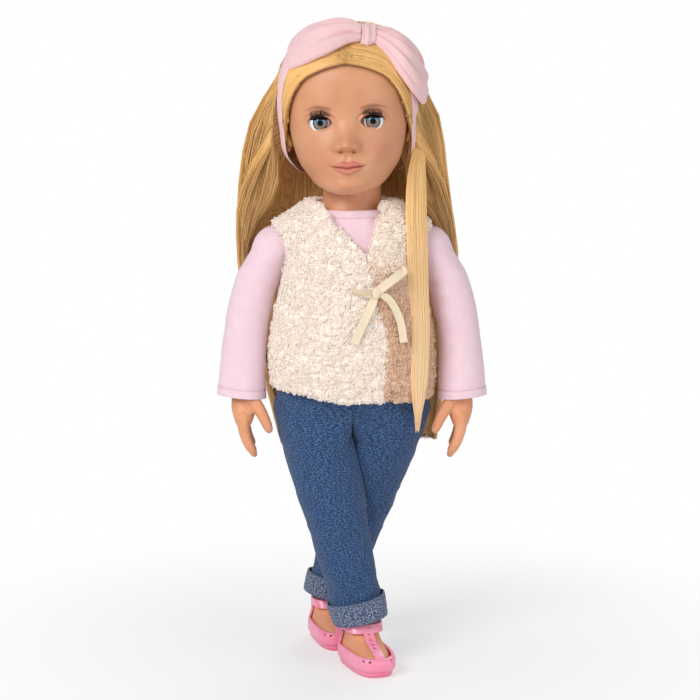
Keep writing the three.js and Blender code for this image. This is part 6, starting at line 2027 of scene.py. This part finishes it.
def arm(name):
    side = SIDES[name]
    rows, columns = 150, 64
    down = steps_up(-12.3, 130, rows, columns)
    turn = turns(rows, columns)
    cx, cy, half, deep = row_values(arm_rows, down)
    x, y = SHOULDER_X + cx + half * np.cos(turn), cy + deep * np.sin(turn)
    parts = [(joined(x, y, SHOULDER_Z - down).reshape(-1, 3), capped_faces(rows, columns))]
    digits = finger_rows + [thumb_rows]
    for digit in digits:
        parts.append(tube([(SHOULDER_X + x, y, SHOULDER_Z - d, r) for x, y, d, r in digit]))
    made = melted(f"arm_vinyl_{name}", [(p * [side, 1, 1], f) for p, f in parts], limb_vinyl, 0.00075, 7)
    points = places_of(made)
    own = joined(points[:, 0] * side - SHOULDER_X, points[:, 1], SHOULDER_Z - points[:, 2])
    nail = np.zeros(len(own))
    tip_blush = np.zeros(len(own))
    for digit in digits:
        before, tip = np.array(digit[-3][:3]), np.array(digit[-2][:3])
        back = np.array([1.0, 0, 0.35]) if digit is not thumb_rows else np.array([-0.6, -0.8, 0.0])
        back /= np.linalg.norm(back)
        spot = (before * 0.25 + tip * 0.75) + back * digit[-2][3] * 1.05
        reach = np.linalg.norm((own - spot) / [1.7, 1.5, 2.1], axis=1)
        nail = np.maximum(nail, ease(1.25 - reach, 0, 0.3))
        tip_blush = np.maximum(tip_blush, bell(np.linalg.norm(own - tip, axis=1), 0, 6.5))
    set_vertices(made, vertices_of(made) - normals_of(made) * (0.00022 * nail)[:, None])
    keep_mask(made, "nail", nail)
    keep_mask(made, "blush", tip_blush * 0.8 + 0.3 * bell(own[:, 2], 108, 8))
    stand_in(made, f"arm_{name}", f"arm_{name}")
    print(made.name, len(made.data.polygons), "faces")


for name in SIDES:
    arm(name)

# %% [markdown]
# The legs are covered by the jeans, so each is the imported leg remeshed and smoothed, with a raised kneecap.
# The top of the foot shows through the windows of the shoe and gets a little colour.

# %% Legs and feet
FOOT_YAW = {"left": 13, "right": 20}
FOOT_SPREAD = 1.13


def spread_foot(name, points):
    """Makes the foot a little wider across its own direction, below the ankle."""
    yaw = math.radians(FOOT_YAW[name])
    across = np.array([math.cos(yaw), math.sin(yaw)])
    out = (points[:, :2] - np.array(ANKLES[name])) @ across
    extra = (FOOT_SPREAD - 1) * ease(42 - points[:, 2], 0, 10)
    points[:, :2] += (out * extra)[:, None] * across
    return points


for name in ANKLES:
    leg = copy_of(f"leg_{name}", f"leg_vinyl_{name}", limb_vinyl, 0.0011, 9)
    leg_points = places_of(leg)
    knee_x = leg_centre(name, 108)[0]
    knee = bell(leg_points[:, 0], knee_x, 8) * bell(leg_points[:, 2], 108, 9) * (normals_of(leg)[:, 1] < -0.2)
    relief = normals_of(leg) * (0.8 * knee)[:, None]
    set_vertices(leg, to_metres(spread_foot(name, leg_points + relief)))
    keep_mask(leg, "blush", 0.7 * bell(leg_points[:, 2], 19, 7) + 0.5 * knee)
    keep_mask(leg, "nail", 0 * knee)
    stand_in(leg, f"leg_{name}", f"leg_{name}")

# %% [markdown]
# The shoe vinyl is glossy, with faint clouds of a paler tone and a deeper one just above the floor.

# %% Shoe finish
shoe_finish, tree, shader = recipe(
    "pink_shoe_vinyl", "ff7fa3", 0.3,
    Subsurface_Weight=0.18, Subsurface_Scale=0.003, Coat_Weight=0.35, Coat_Roughness=0.12,
)
place = object_place(tree)
cloud = grain(tree, place, 60.0, 3.0)
height = wire(tree, "ShaderNodeSeparateXYZ", in0=place).outputs["Z"]
color = blend(tree, ramp(tree, cloud, 0.35, 0.65), "ff8fae", "ffa0ba")
near_sole = maths(tree, "SUBTRACT", 0.55, ramp(tree, height, 0.0, 0.007), clamp=True)
show_color(tree, shader, blend(tree, near_sole, color, "e85f86"))
tree.links.new(maths(tree, "ADD", 0.24, times(tree, cloud, 0.14)), shader.inputs["Roughness"])
bump_into(tree, shader, grain(tree, place, 420.0), 0.00008, 0.35)

# %% [markdown]
# Each shoe is one glossy moulding. It is made like the real one: a solid last gives the outside, a slightly
# smaller foot is taken out of it, then the side windows and the small heart cut-outs are cut through, and
# the whole is remeshed so every edge gets the small round that a mould leaves.

# %% Shoes
SOLE = 3.35
TOE_HALF_WIDE, TOE_LONG = 14.1, 41.5
LONGER = 1.026
foot_rows = [
    (0, 15.5, 38, 11.0), (3, 17.5, 40.5, 12.5), (7, 18, 40.5, 12.5), (10.5, 17.5, 38, 12.1),
    (14, 16.5, 29, 11.1), (18, 15, 20.5, 10.3), (23, 13, 14.5, 10.5), (28.65, 10.5, 10.5, 10.5),
]


def from_ankle(name, across, along, z):
    """A place given from the ankle in the shoe's own directions, turned by the foot's yaw."""
    yaw = math.radians(FOOT_YAW[name])
    x0, y0 = ANKLES[name]
    wide = across * FOOT_SPREAD
    x = x0 + wide * math.cos(yaw) - along * math.sin(yaw)
    y = y0 + wide * math.sin(yaw) + along * math.cos(yaw)
    return joined(x, y, z)


def shoe_form(name, heights, levels, grow, toe_grow, columns=150):
    turn = turns(1, columns)[0]
    c, s = np.cos(turn), np.sin(turn)
    heel, toe, half = (value[:, None] for value in row_values(foot_rows, levels))
    power = np.where(s < 0, 2 / 3.3, 2 / 2.1)
    across = rounded(c, power) * (half + grow) * np.where(s < 0, 1, 1 - 0.12 * s)
    along = rounded(s, power) * np.where(s < 0, toe * LONGER + toe_grow, heel * LONGER + grow)
    points = from_ankle(name, across, along, heights[:, None] * np.ones_like(turn)).reshape(-1, 3)
    return points, capped_faces(len(heights), columns)


def corner_cut(outline, rounds=3):
    """An outline with its corners cut again and again, so they turn round."""
    outline = np.array(outline, dtype=float)
    for _ in range(rounds):
        after = np.roll(outline, -1, axis=0)
        pairs = np.stack([0.75 * outline + 0.25 * after, 0.25 * outline + 0.75 * after], axis=1)
        outline = pairs.reshape(-1, 2)
    return outline


def prism(place, outline, low, high):
    """Points and faces of an outline pushed from low to high. Place turns (u, v, w) into millimetres."""
    n = len(outline)
    ends = [place(outline[:, 0], outline[:, 1], w * np.ones(n)) for w in (low, high)]
    faces = [(i, (i + 1) % n, n + (i + 1) % n, n + i) for i in range(n)]
    return np.concatenate(ends), faces + [tuple(range(n - 1, -1, -1)), tuple(range(n, 2 * n))]


def taken_out(made, parts):
    """Cuts closed forms out of an object, one after another."""
    for points, faces in parts:
        cutter = piece("cutter", points, faces, shoe_finish)
        bpy.context.view_layer.update()
        cut = made.modifiers.new("cut", "BOOLEAN")
        cut.operation = "DIFFERENCE"
        cut.solver = "EXACT"
        cut.object = cutter
        applied(made)
        bpy.data.objects.remove(cutter)


heart = np.array(
    [(0, -1.2), (-0.8, -0.35), (-1.2, 0.4), (-0.75, 1.0), (0, 0.5), (0.75, 1.0), (1.2, 0.4), (0.8, -0.35)]
)
side_window = [
    (3.3, 25.8), (5, 25.8), (20, 25.8), (24, 25.8), (24, 17), (20, 15.6), (12, 14.2), (5, 13.6), (3.3, 13.6),
    (3.3, 15.5), (3.3, 24),
]


def shoe(name):
    heights = np.concatenate([[0, 0.5, 1.2, 2.2, 3.0, 3.4, 3.8], np.linspace(4.6, 31.4, 40)])
    levels = np.clip(heights - SOLE, 0, foot_rows[-1][0])
    edge = -0.9 * ease(1.4 - heights, 0, 1.4) - 0.16 * bell(heights, 3.3, 0.3)
    grow = (2.05 + edge)[:, None]
    made = piece(f"shoe_vinyl_{name}", *shoe_form(name, heights, levels, grow, grow + 1), shoe_finish)
    inner_heights = np.concatenate([[3.0], SOLE + np.linspace(0.4, 28.6, 40), [38.0]])
    inner_levels = np.clip(inner_heights - SOLE, 0, foot_rows[-1][0])
    cuts = [shoe_form(name, inner_heights, inner_levels, 0.3, 0.3)]
    for side in (1, -1):
        window = corner_cut(side_window, 2)[::side]
        cuts.append(prism(lambda u, v, w: from_ankle(name, side * u, w, v), window, -60, 4))
    taken_out(made, cuts)
    holes = []
    for along in (-14.5, -18.3, -22.1, -25.9, -29.7):
        holes.append(prism(lambda u, v, w: from_ankle(name, u * 0.95, along - v * 0.95, w), heart, 12, 30))
    for degrees in (-58, -76, -104, -122):
        c, s = math.cos(math.radians(degrees)), math.sin(math.radians(degrees))
        spot = np.array([math.copysign(abs(c) ** 0.6 * TOE_HALF_WIDE, c), -abs(s) ** 0.6 * TOE_LONG])
        out = unit(spot / [TOE_HALF_WIDE**2, TOE_LONG**2], 0)
        holes.append(prism(lambda u, v, w: from_ankle(
            name, spot[0] - u * out[1] + w * out[0], spot[1] + u * out[0] + w * out[1], 12.0 - v
        ), heart, -3.2, 4))
    taken_out(made, holes)
    melt(made, 0.00036, 5, shoe_finish)
    stand_in(made, f"leg_{name}", f"shoe_{name}")
    print(made.name, len(made.data.polygons), "faces")


for name in ANKLES:
    shoe(name)

# %% [markdown]
# Five kinds of inner part never show on a whole doll: the neck flange, the eye housings, the lead-coloured
# eye weights, the shoulder discs and the hip swivels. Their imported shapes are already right, so they stay
# as they are and get the finish of moulded plastic or of cast metal.

# %% Inner parts
moulded, tree, shader = recipe("moulded_plastic", "e8e4dc", 0.45, Subsurface_Weight=0.05)
place = object_place(tree)
flow = ramp(tree, grain(tree, place, 90.0, 3.0, Distortion=1.2), 0.35, 0.7)
show_color(tree, shader, blend(tree, flow, "eae6de", "d9d3c7"))
pits = wire(tree, "ShaderNodeTexVoronoi", Vector=place, Scale=1400.0).outputs["Distance"]
bump_into(tree, shader, pits, 0.00005, 0.5)
cast = grained(
    "cast_weight", "8d9094", 0.5, ("9a9da2", "6f7276"), 500.0, (0.35, 0.65), (0.0001, 0.7), 5.0, Metallic=0.9
)

inner_parts = {"neck_flange": moulded}
for name in SIDES:
    inner_parts[f"eye_cup_{name}"] = moulded
    inner_parts[f"shoulder_disc_{name}"] = moulded
    inner_parts[f"hip_swivel_{name}"] = moulded
    inner_parts[f"eye_weight_{name}"] = cast
for node, finish in inner_parts.items():
    packed = bpy.data.objects[node].data
    if not packed.materials:
        packed.materials.append(finish)
    for i in range(len(packed.materials)):
        packed.materials[i] = finish
print(len(inner_parts), "inner parts finished")
